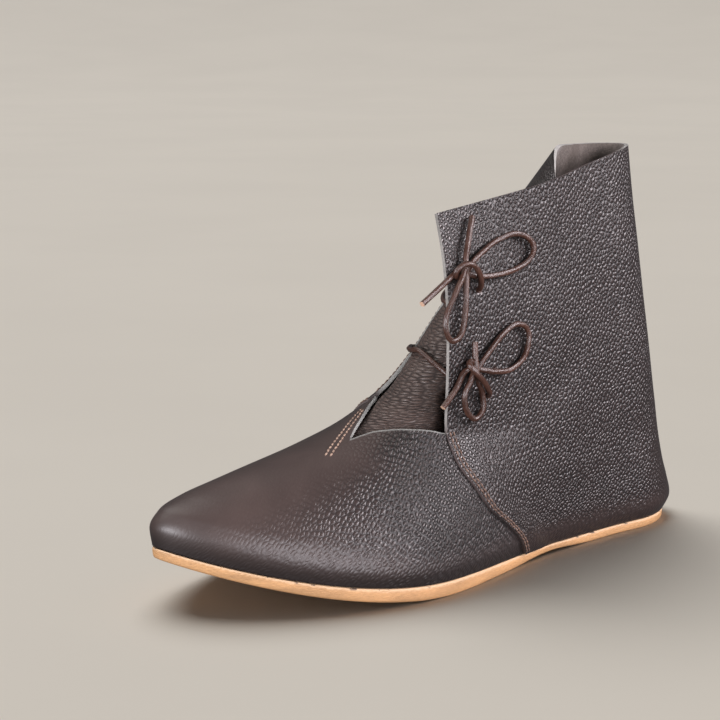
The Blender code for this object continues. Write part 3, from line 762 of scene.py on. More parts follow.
def panel(name, sheets, paints, wall, even=True):
    """A leather panel: welded grids with a wall towards the inside, raw rim and flesh side."""
    points, faces, uvs = [], [], []
    masks = {key: [] for key in sheets[0]["masks"]}
    for sheet in sheets:
        grid = sheet["grid"]
        faces += grid_faces(grid.shape[0], grid.shape[1], len(points), sheet["flip"])
        points += place(grid.reshape(-1, 3)).tolist()
        uvs += sheet["uv"].reshape(-1, 2).tolist()
        for key, values in sheet["masks"].items():
            masks[key] += values.ravel().tolist()
    piece = new_piece(name, points, faces, paints)
    set_uv(piece.data, np.array(uvs) * MM)
    for key, values in masks.items():
        set_mask(piece.data, key, values)
    weld = piece.modifiers.new("weld", "WELD")
    weld.merge_threshold = WELD_GAP
    thick = piece.modifiers.new("wall", "SOLIDIFY")
    thick.thickness = wall
    thick.offset = -1.0
    thick.use_even_offset = even
    thick.material_offset = 2
    thick.material_offset_rim = 1
    apply_modifiers(piece)
    return piece


def finish_piece(piece, slot, *nodes):
    """Ride on the boot and stand for CAD nodes; slot is not used."""
    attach(piece, "root")
    if nodes:
        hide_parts(*nodes)


def girth_table(table, sign, heights, stations):
    """Distance round the vamp from the ridge at each height and length station."""
    rows = []
    for z in heights:
        path = side(z, table, sign)
        y = np.interp(stations, path[::-1, 0], path[::-1, 1])
        rows.append(np.where(stations <= path[0, 0], y, np.nan))
    y = np.array(rows)
    ridge = np.array([level(SPINE, z)["tip_y"] for z in heights])[:, None]
    upper = np.where(np.isnan(y[1:]), np.broadcast_to(ridge[1:], y[1:].shape), y[1:])
    rise = np.where(np.isnan(y[1:]), 0.5, 1.0) * np.diff(heights)[:, None]
    step = np.where(np.isnan(y[:-1]), 0.0, np.hypot(upper - y[:-1], rise))
    below = np.concatenate([np.zeros((1, len(stations))), np.cumsum(step, axis=0)])
    # Behind the slit the ridge lies above the vamp, so the full girth is carried on as a line
    known = (stations > GIRTH_FROM) & (stations < GIRTH_TO)
    line = np.polyfit(stations[known], below[-1, known], 1)
    share = fade(stations, GIRTH_FROM, GIRTH_TO - GIRTH_FROM)
    return (1 - share) * np.polyval(line, stations) + share * below[-1] - below


def girth_at(girth, heights, stations, grid):
    """The girth table read at a grid's points."""
    i = np.clip((grid[..., 0] - stations[0]) / (stations[1] - stations[0]), 0, len(stations) - 1.001)
    j = np.clip((grid[..., 2] - heights[0]) / (heights[1] - heights[0]), 0, len(heights) - 1.001)
    a, b = i.astype(int), j.astype(int)
    s, t = i - a, j - b
    low = girth[b, a] * (1 - s) + girth[b, a + 1] * s
    high = girth[b + 1, a] * (1 - s) + girth[b + 1, a + 1] * s
    return low * (1 - t) + high * t


def feed(tree, target, inputs):
    """Fill a node's inputs by name with numbers or sockets."""
    for key, value in inputs.items():
        if isinstance(value, bpy.types.NodeSocket):
            tree.links.new(value, target.inputs[key])
        else:
            target.inputs[key].default_value = value


def node(tree, kind, inputs=None, **settings):
    """A shader node with its settings and inputs."""
    made = tree.nodes.new(kind)
    for key, value in settings.items():
        setattr(made, key, value)
    feed(tree, made, inputs or {})
    return made


def math_node(tree, operation, a, b):
    return node(tree, "ShaderNodeMath", {0: a, 1: b}, operation=operation).outputs[0]


def vector_node(tree, operation, inputs):
    return node(tree, "ShaderNodeVectorMath", inputs, operation=operation).outputs[0]


def mapping(tree, vector, **settings):
    """A pattern turned or stretched."""
    return node(tree, "ShaderNodeMapping", {"Vector": vector, **settings}).outputs[0]


def mix_colour(tree, share, a, b):
    return node(tree, "ShaderNodeMix", {0: share, 6: a, 7: b}, data_type="RGBA").outputs[2]


def span(tree, value, low, high, to_low=0.0, to_high=1.0):
    """A value mapped smoothly from one range to another."""
    return node(tree, "ShaderNodeMapRange", {
        "Value": value, "From Min": low, "From Max": high, "To Min": to_low, "To Max": to_high,
    }, interpolation_type="SMOOTHSTEP").outputs["Result"]


def even_tone(tree, value):
    """A noise's middle range as a share from 0 to 1."""
    return span(tree, value, 0.3, 0.7)


def noise(tree, vector, scale, detail, rough=0.55):
    return node(tree, "ShaderNodeTexNoise", {
        "Vector": vector, "Scale": scale, "Detail": detail, "Roughness": rough,
    }).outputs["Fac"]


def bump(tree, height, depth):
    """A normal bumped by a height; depth is in metres."""
    made = node(tree, "ShaderNodeBump", {"Height": height, "Distance": depth, "Strength": 1.0})
    return made.outputs["Normal"]


def attribute(tree, name):
    return node(tree, "ShaderNodeAttribute", attribute_name=name).outputs["Fac"]


def uv_vector(tree):
    return node(tree, "ShaderNodeUVMap", uv_map="UVMap").outputs["UV"]


def object_vector(tree):
    return node(tree, "ShaderNodeTexCoord").outputs["Object"]


def rgba(value, gain=1.0):
    return (*(min(1.0, channel * gain) for channel in value), 1.0)


def two_tone(tree, share, value, low, high):
    """A colour between two gains of it."""
    return mix_colour(tree, share, rgba(value, low), rgba(value, high))


def made_once(make):
    """Hand out the material or node group that a maker is named for, and make it only where there is none."""
    @functools.wraps(make)
    def fetch():
        for store in (bpy.data.materials, bpy.data.node_groups):
            if make.__name__ in store:
                return store[make.__name__]
        return make()
    return fetch


def new_group(name, inputs, outputs):
    """An empty node group with named sockets; returns its tree, inputs and output node."""
    tree = bpy.data.node_groups.new(name, "ShaderNodeTree")
    for key, kind in inputs.items():
        tree.interface.new_socket(name=key, in_out="INPUT", socket_type=f"NodeSocket{kind}")
    for key in outputs:
        tree.interface.new_socket(name=key, in_out="OUTPUT", socket_type="NodeSocketFloat")
    entry = tree.nodes.new("NodeGroupInput")
    return tree, entry.outputs, tree.nodes.new("NodeGroupOutput")


def place_group(tree, group, **inputs):
    """A node group's outputs, with its inputs given by name."""
    return node(tree, "ShaderNodeGroup", inputs, node_tree=group).outputs


@made_once
def pebble_grain():
    """Leather grain: rounded pebbles between crease lines."""
    sockets = {"Vector": "Vector", "Pitch": "Float", "Amount": "Float"}
    tree, entry, leave = new_group("pebble_grain", sockets, ("Height", "Crown", "Tone"))
    spot = entry["Vector"]
    flow = node(tree, "ShaderNodeTexNoise", {"Vector": spot, "Scale": 240.0, "Detail": 1.0}).outputs["Color"]
    flow = vector_node(tree, "SUBTRACT", {0: flow, 1: (0.5, 0.5, 0.5)})
    flow = vector_node(tree, "SCALE", {0: flow, "Scale": 0.0011})
    cell = {
        "Vector": vector_node(tree, "ADD", {0: spot, 1: flow}),
        "Scale": math_node(tree, "DIVIDE", 1.0, entry["Pitch"]),
        "Randomness": 0.75,
    }
    middle, crease = (
        node(tree, "ShaderNodeTexVoronoi", cell, voronoi_dimensions="2D", feature=feature).outputs["Distance"]
        for feature in ("F1", "DISTANCE_TO_EDGE")
    )
    inward = math_node(tree, "DIVIDE", crease, math_node(tree, "ADD", crease, middle))
    dome = span(tree, inward, 0.0, 0.68)
    patch = span(tree, noise(tree, spot, 110.0, 2.0), 0.25, 0.75, 0.7, 1.0)
    amount = math_node(tree, "MULTIPLY", entry["Amount"], patch)
    pores = math_node(tree, "MULTIPLY", noise(tree, spot, 1500.0, 2.0), 0.06)
    # Share of painted shade in the creases between the pebbles; the crown is the rest
    valley = math_node(tree, "MULTIPLY", math_node(tree, "SUBTRACT", 1.0, dome), amount)
    feed(tree, leave, {
        "Height": math_node(tree, "ADD", math_node(tree, "MULTIPLY", dome, amount), pores),
        "Crown": math_node(tree, "SUBTRACT", 1.0, valley),
        "Tone": noise(tree, spot, 34.0, 4.0),
    })
    return tree


@made_once
def raw_fibre():
    """Raw leather fibres: nap and blotches."""
    sockets = {"Vector": "Vector", "Fineness": "Float"}
    tree, entry, leave = new_group("raw_fibre", sockets, ("Height", "Tone"))
    fine = noise(tree, entry["Vector"], entry["Fineness"], 5.0, 0.7)
    broad = noise(tree, entry["Vector"], math_node(tree, "MULTIPLY", entry["Fineness"], 0.09), 4.0)
    halves = [math_node(tree, "MULTIPLY", part, 0.5) for part in (fine, broad)]
    feed(tree, leave, {"Height": fine, "Tone": math_node(tree, "ADD", *halves)})
    return tree


def new_material(name):
    """A node material; returns it with its tree and shader."""
    paint = bpy.data.materials.new(name)
    paint.use_nodes = True
    return paint, paint.node_tree, paint.node_tree.nodes["Principled BSDF"]


@made_once
def upper_grain():
    """Pebbled upper leather; masks give the grain's strength, painted shade at the foot with a darker heel,
    worn and dull parts.
    """
    paint, tree, shader = new_material("upper_grain")
    turned = mapping(tree, uv_vector(tree), Rotation=(0.0, 0.0, -0.66))
    turned = mapping(tree, turned, Scale=(0.88, 1.15, 1.0))
    strength = attribute(tree, "grain")
    grain = place_group(tree, pebble_grain(), Vector=turned, Pitch=sizes().pebble, Amount=strength)
    crown = mix_colour(tree, strength, rgba(colours().plain), rgba(colours().crown))
    mottle = math_node(tree, "MULTIPLY", even_tone(tree, grain["Tone"]), 0.3)
    crown = mix_colour(tree, mottle, crown, rgba(colours().valley, 2.0))
    # Painted shade in the creases: where the pebbles dip, the skin takes the dark crease colour
    skin = mix_colour(tree, span(tree, grain["Crown"], 0.1, 1.0), rgba(colours().valley), crown)
    # Painted shade near the sole, and on the quarter a heel darker towards the back: both take the crease
    # colour
    skin = mix_colour(tree, attribute(tree, "shade_and_darkening"), skin, rgba(colours().valley))
    gloss = span(tree, grain["Crown"], 0.2, 0.9, 0.45, 0.33)
    dull = math_node(tree, "MULTIPLY", attribute(tree, "dull"), 0.07)
    feed(tree, shader, {
        "Base Color": mix_colour(tree, attribute(tree, "worn"), skin, rgba(colours().raw, 0.6)),
        "Roughness": math_node(tree, "ADD", gloss, dull),
        "Specular IOR Level": 0.42,
        "Normal": bump(tree, grain["Height"], 0.00034),
    })
    return paint


@made_once
def raw_edge():
    """Cut edge of the upper leather; the mask tells pale parts from burnished ones."""
    paint, tree, shader = new_material("raw_edge")
    fibre = place_group(tree, raw_fibre(), Vector=object_vector(tree), Fineness=1500.0)
    tone = even_tone(tree, fibre["Tone"])
    pale = two_tone(tree, tone, colours().raw, 0.55, 1.15)
    dark = two_tone(tree, tone, colours().crown, 1.4, 3.0)
    feed(tree, shader, {
        "Base Color": mix_colour(tree, attribute(tree, "pale"), dark, pale),
        "Roughness": 0.85,
        "Normal": bump(tree, fibre["Height"], 0.0003),
    })
    return paint


def fibrous(name, value, gains, fineness, rough, depth, **more):
    """Raw leather or thread: fibres in two gains of a colour."""
    paint, tree, shader = new_material(name)
    fibre = place_group(tree, raw_fibre(), Vector=object_vector(tree), Fineness=fineness)
    feed(tree, shader, {
        "Base Color": two_tone(tree, even_tone(tree, fibre["Tone"]), value, *gains),
        "Roughness": rough,
        "Normal": bump(tree, fibre["Height"], depth),
    })
    feed(tree, shader, more)
    return paint


@made_once
def flesh_side():
    """Suede inside of the upper leather."""
    suede = {"Specular IOR Level": 0.2, "Sheen Weight": 0.25}
    return fibrous("flesh_side", colours().flesh, (0.6, 1.35), 900.0, 0.95, 0.0004, **suede)


def insole_nap():
    """Soft leather under the foot."""
    return fibrous("insole_nap", colours().insole, (0.7, 1.25), 700.0, 0.85, 0.0003)


def thread(name, value):
    """Twisted thread."""
    return fibrous(name, value, (0.6, 1.35), 2200.0, 0.6, 0.0002)


def tongue_grain():
    """Softer leather with fine wavy wrinkles across."""
    paint, tree, shader = new_material("tongue_grain")
    stretched = mapping(tree, uv_vector(tree), Scale=(0.3, 1.0, 1.0))
    grain = place_group(tree, pebble_grain(), Vector=stretched, Pitch=0.0017, Amount=1.0)
    crown = two_tone(tree, even_tone(tree, grain["Tone"]), colours().tongue, 0.8, 1.2)
    # Painted shade in the creases of the wrinkles: they take the dark crease colour
    feed(tree, shader, {
        "Base Color": mix_colour(tree, span(tree, grain["Crown"], -0.3, 0.7), rgba(colours().valley), crown),
        "Roughness": span(tree, grain["Crown"], 0.1, 0.8, 0.85, 0.36),
        "Specular IOR Level": 0.36,
        "Normal": bump(tree, grain["Height"], 0.0004),
    })
    return paint


def sole_tan():
    """Natural sole leather; its upper rim is pale, fuzzy and spotted, and its floor side worn."""
    paint, tree, shader = new_material("sole_tan")
    spot = object_vector(tree)
    flat = mapping(tree, spot, Scale=(1.0, 1.0, 5.0))
    fibre = place_group(tree, raw_fibre(), Vector=flat, Fineness=520.0)
    edge = attribute(tree, "edge")
    base = two_tone(tree, even_tone(tree, fibre["Tone"]), colours().sole, 0.66, 1.18)
    fuzz = math_node(tree, "MULTIPLY", math_node(tree, "SUBTRACT", fibre["Height"], 0.5), 0.7)
    rim = span(tree, math_node(tree, "ADD", edge, fuzz), 0.72, 0.98)
    base = mix_colour(tree, rim, base, rgba(colours().sole_rim))
    spots = span(tree, noise(tree, spot, 330.0, 2.0), 0.63, 0.70)
    spots = math_node(tree, "MULTIPLY", spots, span(tree, edge, 0.80, 0.97))
    base = mix_colour(tree, spots, base, rgba(colours().sole_spot))
    worn = math_node(tree, "MULTIPLY", span(tree, edge, 0.25, 0.0), 0.35)
    feed(tree, shader, {
        "Base Color": mix_colour(tree, worn, base, rgba(colours().sole, 0.45)),
        "Roughness": 0.62,
        "Normal": bump(tree, fibre["Height"], 0.0003),
    })
    return paint


@made_once
def lace_thong():
    """Narrow leather thong with streaks along it."""
    paint, tree, shader = new_material("lace_thong")
    stretched = mapping(tree, uv_vector(tree), Scale=(0.12, 1.0, 1.0))
    fibre = place_group(tree, raw_fibre(), Vector=stretched, Fineness=2400.0)
    feed(tree, shader, {
        "Base Color": two_tone(tree, span(tree, fibre["Tone"], 0.32, 0.68), colours().lace, 0.45, 1.6),
        "Roughness": span(tree, fibre["Height"], 0.3, 0.7, 0.24, 0.44),
        "Normal": bump(tree, fibre["Height"], 0.00022),
    })
    return paint


@made_once
def lace_cut():
    """Cut ends of the lace."""
    paint, tree, shader = new_material("lace_cut")
    fibre = place_group(tree, raw_fibre(), Vector=object_vector(tree), Fineness=2000.0)
    feed(tree, shader, {
        "Base Color": two_tone(tree, fibre["Tone"], colours().lace_cut, 0.7, 1.2),
        "Roughness": 0.8,
    })
    return paint


def floor_matte():
    """Pale floor with a faint mottle."""
    paint, tree, shader = new_material("floor_matte")
    tone = even_tone(tree, noise(tree, object_vector(tree), 3.0, 4.0))
    feed(tree, shader, {
        "Base Color": two_tone(tree, tone, colours().floor, 0.985, 1.015),
        "Roughness": 0.8,
    })
    return paint


def through(points, step):
    """A smooth curve through points, resampled at an even step."""
    points = np.array(points, float)
    ends = np.concatenate([[2 * points[0] - points[1]], points, [2 * points[-1] - points[-2]]])
    t = np.linspace(0.0, 1.0, ROUTE_POINTS, endpoint=False)[:, None]
    dense = []
    for a, b, c, d in zip(ends[:-3], ends[1:-2], ends[2:-1], ends[3:]):
        square = 2 * a - 5 * b + 4 * c - d
        cube = 3 * b - a - 3 * c + d
        dense.append(0.5 * (2 * b + (c - a) * t + square * t**2 + cube * t**3))
    path = np.concatenate(dense + [points[-1:]])
    count = max(3, round(walk(path)[-1] / step) + 1)
    return pick(path, np.linspace(0.0, 1.0, count))


def flap_point(x, z, out):
    """A point at a distance out from the flap's outer face."""
    wide = level(LATERAL, z)
    path, _ = ball_to_waist(wide, FLAP_POINTS)
    ahead = max(0.0, x - wide["ball_x"])
    y = np.interp(min(x, wide["ball_x"]), path[::-1, 0], path[::-1, 1]) + ahead * wide["ball_m"]
    return np.array((x, y + out, z))


def ridge_point(z, along, out):
    """A point out from the ring: along is the distance past the ridge to the outer (+) or inner (-) side."""
    inner, outer = ring(z)
    path = outer if along >= 0 else inner
    turn = -1 if along >= 0 else 1
    spot = at(path, [abs(along)])[0]
    near = at(path, [max(0.0, abs(along) - 0.5), abs(along) + 0.5])
    run = (near[1] - near[0]) / np.linalg.norm(near[1] - near[0])
    normal = np.array((-run[1], run[0])) * turn
    return np.array((*(spot + out * normal), z))


def thong(name, points, cut_ends=True):
    """A squarish leather lace along points of the last; returns the piece and its centreline in metres."""
    route = place(through(points, LACE_STEP))
    run = unit(np.gradient(route, axis=0))
    turn = np.linspace(0.0, 2 * math.pi, LACE_SIDES, endpoint=False)
    corners = np.abs(np.cos(turn)) ** LACE_CORNERS + np.abs(np.sin(turn)) ** LACE_CORNERS
    radius = sizes().lace / 2 * LACE_FULLNESS / corners ** (1 / LACE_CORNERS)
    # Any direction that no lace starts along gives the first ring its place
    up = np.cross(run[0], (0.3, 1.0, 0.2))
    points_out = []
    for k, (spot, ahead) in enumerate(zip(route, run)):
        up = up - ahead * (up @ ahead)
        up /= np.linalg.norm(up)
        across = np.cross(ahead, up)
        spin = turn + LACE_TWIST * math.sin(k * LACE_TWIST_PACE + len(route))
        ring_out = np.cos(spin)[:, None] * up + np.sin(spin)[:, None] * across
        points_out.append(spot + radius[:, None] * ring_out)
    faces = []
    for k in range(len(route) - 1):
        faces += loop_faces(k * LACE_SIDES, (k + 1) * LACE_SIDES, LACE_SIDES, True)
    last = (len(route) - 1) * LACE_SIDES
    faces.append(tuple(range(LACE_SIDES))[::-1])
    faces.append(tuple(range(last, last + LACE_SIDES)))
    piece = new_piece(name, np.concatenate(points_out), faces, (lace_thong(), lace_cut()))
    if cut_ends:
        for face in list(piece.data.polygons)[-2:]:
            face.material_index = 1
    along = np.repeat(walk(route), LACE_SIDES)
    around = np.tile(np.abs(turn - math.pi) * sizes().lace / 2, len(route))
    set_uv(piece.data, np.column_stack([along, around]))
    round_shading(piece, 50)
    return piece, route


def stitch_shape():
    """One stitch, long along x, from a small ball."""
    bpy.ops.object.select_all(action="DESELECT")
    bpy.ops.mesh.primitive_uv_sphere_add(segments=8, ring_count=5, radius=0.5)
    ball = bpy.context.object
    bpy.ops.object.mode_set(mode="EDIT")
    bpy.ops.mesh.select_all(action="SELECT")
    bpy.ops.transform.rotate(value=math.pi / 2, orient_axis="Y", center_override=(0, 0, 0))
    bpy.ops.object.mode_set(mode="OBJECT")
    points = np.array([vertex.co for vertex in ball.data.vertices])
    # The primitive gives its faces in another order each run, so they are sorted
    faces = sorted(tuple(face.vertices) for face in ball.data.polygons)
    bpy.data.objects.remove(ball, do_unlink=True)
    return points, faces


def stitches(name, rows, paint, joint):
    """Rows of stitches joined in one mesh; each row is points and outward normals on the last."""
    shape, shape_faces = stitch_shape()
    length = mm(sizes().stitch)
    size = np.array((length * STITCH_FILL, mm(sizes().thread), mm(sizes().thread) * STITCH_FLAT))
    bead = shape * size
    bead[:, 2] += STITCH_RISE - STITCH_DIP * (2 * bead[:, 0] / size[0]) ** 2
    hole = shape * STITCH_HOLE * length - (length / 2, 0.0, STITCH_HOLE_DROP)
    points, faces = [], []
    for line, outward in rows:
        count = int(walk(line)[-1] / length)
        parts = (np.arange(count) + 0.5) / count
        spots = pick(line, parts)
        out = pick(np.column_stack([line, outward]), parts)[:, 3:]
        ahead = pick(line, np.minimum(parts + 0.01, 1)) - pick(line, np.maximum(parts - 0.01, 0))
        for k in range(count):
            run = ahead[k] / np.linalg.norm(ahead[k])
            lift = out[k] - run * (out[k] @ run)
            lift /= np.linalg.norm(lift)
            across = np.cross(lift, run)
            skew = STITCH_SKEW * (1 if k % 2 else -1)
            run, across = run + skew * across, across - skew * run
            for ball in (bead, hole):
                first = len(points)
                points += (spots[k] + ball[:, :1] * run + ball[:, 1:2] * across + ball[:, 2:] * lift).tolist()
                faces += [tuple(first + i for i in face) for face in shape_faces]
    piece = new_piece(name, place(np.array(points)), faces, (paint, joint))
    for k, face in enumerate(piece.data.polygons):
        face.material_index = k // len(shape_faces) % 2
    round_shading(piece, 60)
    return piece


def edge_row(heights, make, from_start, away):
    """A line at a distance from a level curve's front edge, with outward normals."""
    line, outward = [], []
    for z in heights:
        path = make(z)
        along = walk(path)
        where = away if from_start else along[-1] - away
        out = normals(path)
        line.append((*at(path, [where])[0], z))
        outward.append((np.interp(where, along, out[:, 0]), np.interp(where, along, out[:, 1]), 0.0))
    line, outward = np.array(line), np.array(outward)
    run = unit(np.gradient(line, axis=0))
    slope = np.cross(np.cross(outward, (0.0, 0.0, 1.0)), run)
    slope *= np.sign(np.sum(slope * outward, axis=1))[:, None]
    return line, unit(slope)


def on_vamp(z, y):
    """The vamp's point at a height and breadth."""
    path = side(z, LATERAL, 1)
    if y < path[0, 1]:
        path = side(z, MEDIAL, -1)
    return np.array((*at(path, [distance_to(path, 1, y)])[0], z))


def vamp_row(table):
    """A row over the vamp from its table of heights, with outward normals."""
    line, outward = [], []
    for z in np.linspace(*SLIT_SEWN):
        y = reading(table, z)
        line.append(on_vamp(z, y))
        out = np.cross(on_vamp(z, y + 1) - on_vamp(z, y - 1), on_vamp(z + 1, y) - on_vamp(z - 1, y))
        outward.append(out * np.sign(out[2]) / np.linalg.norm(out))
    return np.array(line), np.array(outward)


class BOOT_OT_vamp(bpy.types.Operator):
    """Build the vamp with its slit"""

    bl_idname = "boot.vamp"
    bl_label = "Vamp"

    def execute(self, context):
        heights = np.linspace(SOLE_THICKNESS, SLIT_END, VAMP_ROWS)
        slit_heights = np.linspace(SLIT_END, SLIT_TOP, VAMP_SLIT_ROWS)[1:]
        parts = np.linspace(0.0, 1.0, VAMP_COLUMNS) ** VAMP_CROWDING
        levels = np.arange(SOLE_THICKNESS, MEDIAL_JOIN + 0.01, LEVEL_STEP)
        share = (heights - heights[0]) / (SLIT_END - heights[0])
        outer_z = heights[:, None] + share[:, None] * smooth(VAMP_EDGE, parts)[None, :]
        inner_z = np.repeat(np.concatenate([heights, slit_heights])[:, None], len(parts), 1)
        outer = at_heights(levels, level_rows(levels, lambda z: split_level(z)[0], parts), outer_z)
        inner = at_heights(levels, level_rows(levels, lambda z: split_level(z)[1], parts), inner_z)
        sheets = [self.sheet(outer, levels, LATERAL, 1), self.sheet(inner, levels, MEDIAL, -1)]
        piece = panel("vamp", sheets, (upper_grain(), raw_edge(), flesh_side()), sizes().wall)
        round_shading(piece)
        finish_piece(piece, "upper_leather", "upper")
        return {"FINISHED"}

    def sheet(self, grid, levels, table, sign):
        """One half of the vamp with its masks: grained sides, smooth toe and ridge, painted shade at the
        foot.
        """
        girth = girth_at(girth_table(table, sign, levels, STATIONS), levels, STATIONS, grid)
        x, z = grid[..., 0], grid[..., 2]
        # Grain grows down the sides and back from the toe; each fade has its start and width in millimetres
        grain = fade(girth, 14, 30) * (0.40 + 0.60 * fade(x, 238, -62))
        grain = np.maximum(grain, fade(girth, 3, 26) * fade(x, 205, -34))
        grain *= 0.35 + 0.65 * fade(z, 10, 16)
        dull = fade(x, 208, -45) * fade(girth, 12, 25)
        worn = np.zeros(x.shape)
        worn[-1] = 1.0
        masks = {
            "grain": 0.06 + 0.94 * grain + 0.45 * dull * grain,
            # Painted shade: darker towards the sole
            "shade_and_darkening": 0.85 * (1 - fade(z, 5, 13)),
            "worn": worn,
            "pale": np.ones(x.shape),
            "dull": dull + 1.7 * (1 - grain),
        }
        grid[0, :, 2] += SEAT_GAP
        return {"grid": grid, "flip": sign < 0, "uv": np.stack([x, sign * girth], 2), "masks": masks}


class BOOT_OT_quarter(bpy.types.Operator):
    """Build the one-piece quarter with its flap, collar and lace holes"""

    bl_idname = "boot.quarter"
    bl_label = "Quarter"

    def execute(self, context):
        grid, part = self.grid()
        around = np.array([walk(row) for row in grid[..., :2]])
        around -= around[:, QUARTER_HALF - 1:QUARTER_HALF]
        rise = np.linalg.norm(np.diff(grid, axis=0), axis=2)
        up = np.concatenate([np.zeros((1, grid.shape[1])), np.cumsum(rise, axis=0)])
        grid += trough(around, grid[..., 2], QUARTER_FOLDS)[..., None] * grid_normals(grid)
        masks = self.masks(grid, around, part)
        grid[0, :, 2] += SEAT_GAP
        sheet = {"grid": grid, "flip": False, "uv": np.stack([around, up], 2), "masks": masks}
        piece = panel("quarter", (sheet,), (upper_grain(), raw_edge(), flesh_side()), sizes().wall)
        cutter = punch()
        holes = piece.modifiers.new("holes", "BOOLEAN")
        holes.operation = "DIFFERENCE"
        holes.solver = "EXACT"
        holes.object = cutter
        apply_modifiers(piece)
        bpy.data.objects.remove(cutter, do_unlink=True)
        round_shading(piece)
        finish_piece(piece, "upper_leather", "upper")
        return {"FINISHED"}

    def grid(self):
        """Points from the flap round the back to the inner front, and each column's part of the way."""
        half = np.linspace(0.0, 1.0, QUARTER_HALF)
        foot_levels = np.arange(SOLE_THICKNESS, LEG_START, LEVEL_STEP)
        levels = np.concatenate([foot_levels, np.arange(LEG_START, TABLE_TOP + 0.01, LEG_STEP)])
        outer = level_rows(levels, quarter_outer, half)
        inner = level_rows(levels, quarter_inner, half)
        rows = np.concatenate([outer, inner[:, 1:]], 1)
        part = np.concatenate([half * 0.5, 0.5 + half[1:] * 0.5])
        foot = np.linspace(SOLE_THICKNESS, MEDIAL_JOIN, QUARTER_FOOT_ROWS)
        leg = np.linspace(MEDIAL_JOIN, COLLAR_BACK, QUARTER_LEG_ROWS)[1:]
        share = (leg - MEDIAL_JOIN) / (COLLAR_BACK - MEDIAL_JOIN)
        leg_z = MEDIAL_JOIN + share[:, None] * (smooth(COLLAR, part)[None, :] - MEDIAL_JOIN)
        foot_z = np.repeat(foot[:, None], len(part), 1)
        return at_heights(levels, rows, np.concatenate([foot_z, leg_z])), part

    def masks(self, grid, around, part):
        """Grain, painted shade at the foot, a darker heel, and pale or dark cut edges."""
        z = grid[..., 2]
        heel = (1 - fade(np.abs(around), 8, 45)) * (1 - fade(z, 22, 50))
        # Pale cut edges: the collar behind the flap, the flap's front by half, the inner front above the vamp
        pale = np.ones(around.shape)
        pale[-1] = 0.8 * fade(part, 0.40, 0.06)
        pale[:, 0] = 0.5 * fade(z[:, 0], 60, 8)
        pale[:, -1] = 0.08 + 0.92 * fade(z[:, -1], 71.5, 3)
        return {
            "grain": (1 - 0.75 * heel) * (0.3 + 0.7 * fade(z, 7, 14)),
            # Painted shade near the sole; the heel is also darker towards the back and bottom
            "shade_and_darkening": np.maximum(0.65 * (1 - fade(z, 5, 12)), 0.95 * heel),
            "worn": np.zeros(around.shape),
            "pale": pale,
            "dull": np.zeros(around.shape),
        }


def inner_hole(z):
    """Place of an inner lace hole past the ridge."""
    return reading(EDGE, z) - HOLE_SETBACK


def punch():
    """Round cutters for all the lace holes, joined."""
    spots = []
    for start_z, _, hole_x, hole_z in CROSSINGS:
        past = inner_hole(start_z)
        spots.append([flap_point(hole_x, hole_z, out) for out in (HOLE_FROM, HOLE_TO)])
        spots.append([ridge_point(start_z, past, out) for out in (HOLE_FROM, HOLE_TO)])
    made = []
    for low, high in spots:
        low, high = Vector(place(low)), Vector(place(high))
        bpy.ops.object.select_all(action="DESELECT")
        bpy.ops.mesh.primitive_cylinder_add(vertices=14, radius=sizes().hole / 2, depth=(high - low).length)
        tool = bpy.context.object
        tool.rotation_mode = "QUATERNION"
        tool.rotation_quaternion = (high - low).to_track_quat("Z", "Y")
        tool.location = (low + high) / 2
        tool.data.materials.append(raw_edge())
        made.append(tool)
    for tool in made:
        tool.select_set(True)
    bpy.context.view_layer.objects.active = made[0]
    bpy.ops.object.join()
    return bpy.context.object


class BOOT_OT_tongue(bpy.types.Operator):
    """Build the tongue under the slit and the flap"""

    bl_idname = "boot.tongue"
    bl_label = "Tongue"

    def execute(self, context):
        rows, lifts = [], []
        for z in np.linspace(TONGUE_FOOT, TONGUE_TOP, TONGUE_ROWS):
            inner, outer = ring(z)
            start = TONGUE_TUCK + max(0.0, edge_distance(inner, z))
            under = at(inner, np.linspace(start, 0.0, TONGUE_UNDER))
            over = at(outer, np.linspace(0.0, reading(TONGUE_REACH, z), TONGUE_OVER)[1:])
            row = np.concatenate([under, over])
            past = walk(row) - start
            # The tongue swells in front of the inner leather's edge and turns in under the flap
            puff = TONGUE_PUFF * fade(past - front_edge(inner, outer, z), 0.6, 4) * fade(z, 63, 8)
            sink = TONGUE_SINK * (fade(past - reading(TONGUE_TURN, z), -1.0, 8) * (1 - fade(z, 74, 10)))
            rows.append(np.column_stack([row, np.full(len(row), z)]))
            lifts.append(puff - sink)
        grid = np.array(rows)
        ridge = TONGUE_UNDER - 1
        around = np.array([walk(row) for row in grid[..., :2]])
        around -= around[:, ridge:ridge + 1]
        up = np.repeat(walk(grid[:, ridge])[:, None], grid.shape[1], 1)
        out = grid_normals(grid)
        lift = np.array(lifts) * np.hypot(out[..., 0], out[..., 1]) - mm(sizes().tongue_drop)
        grid += (lift + trough(around, up, TONGUE_FOLDS))[..., None] * out
        masks = {"pale": np.full(around.shape, 0.05)}
        sheet = {"grid": grid, "flip": False, "uv": np.stack([around, up], 2), "masks": masks}
        paints = (tongue_grain(), raw_edge(), flesh_side())
        piece = panel("tongue", (sheet,), paints, sizes().tongue, even=False)
        round_shading(piece)
        finish_piece(piece, "tongue_leather", "tongue")
        return {"FINISHED"}


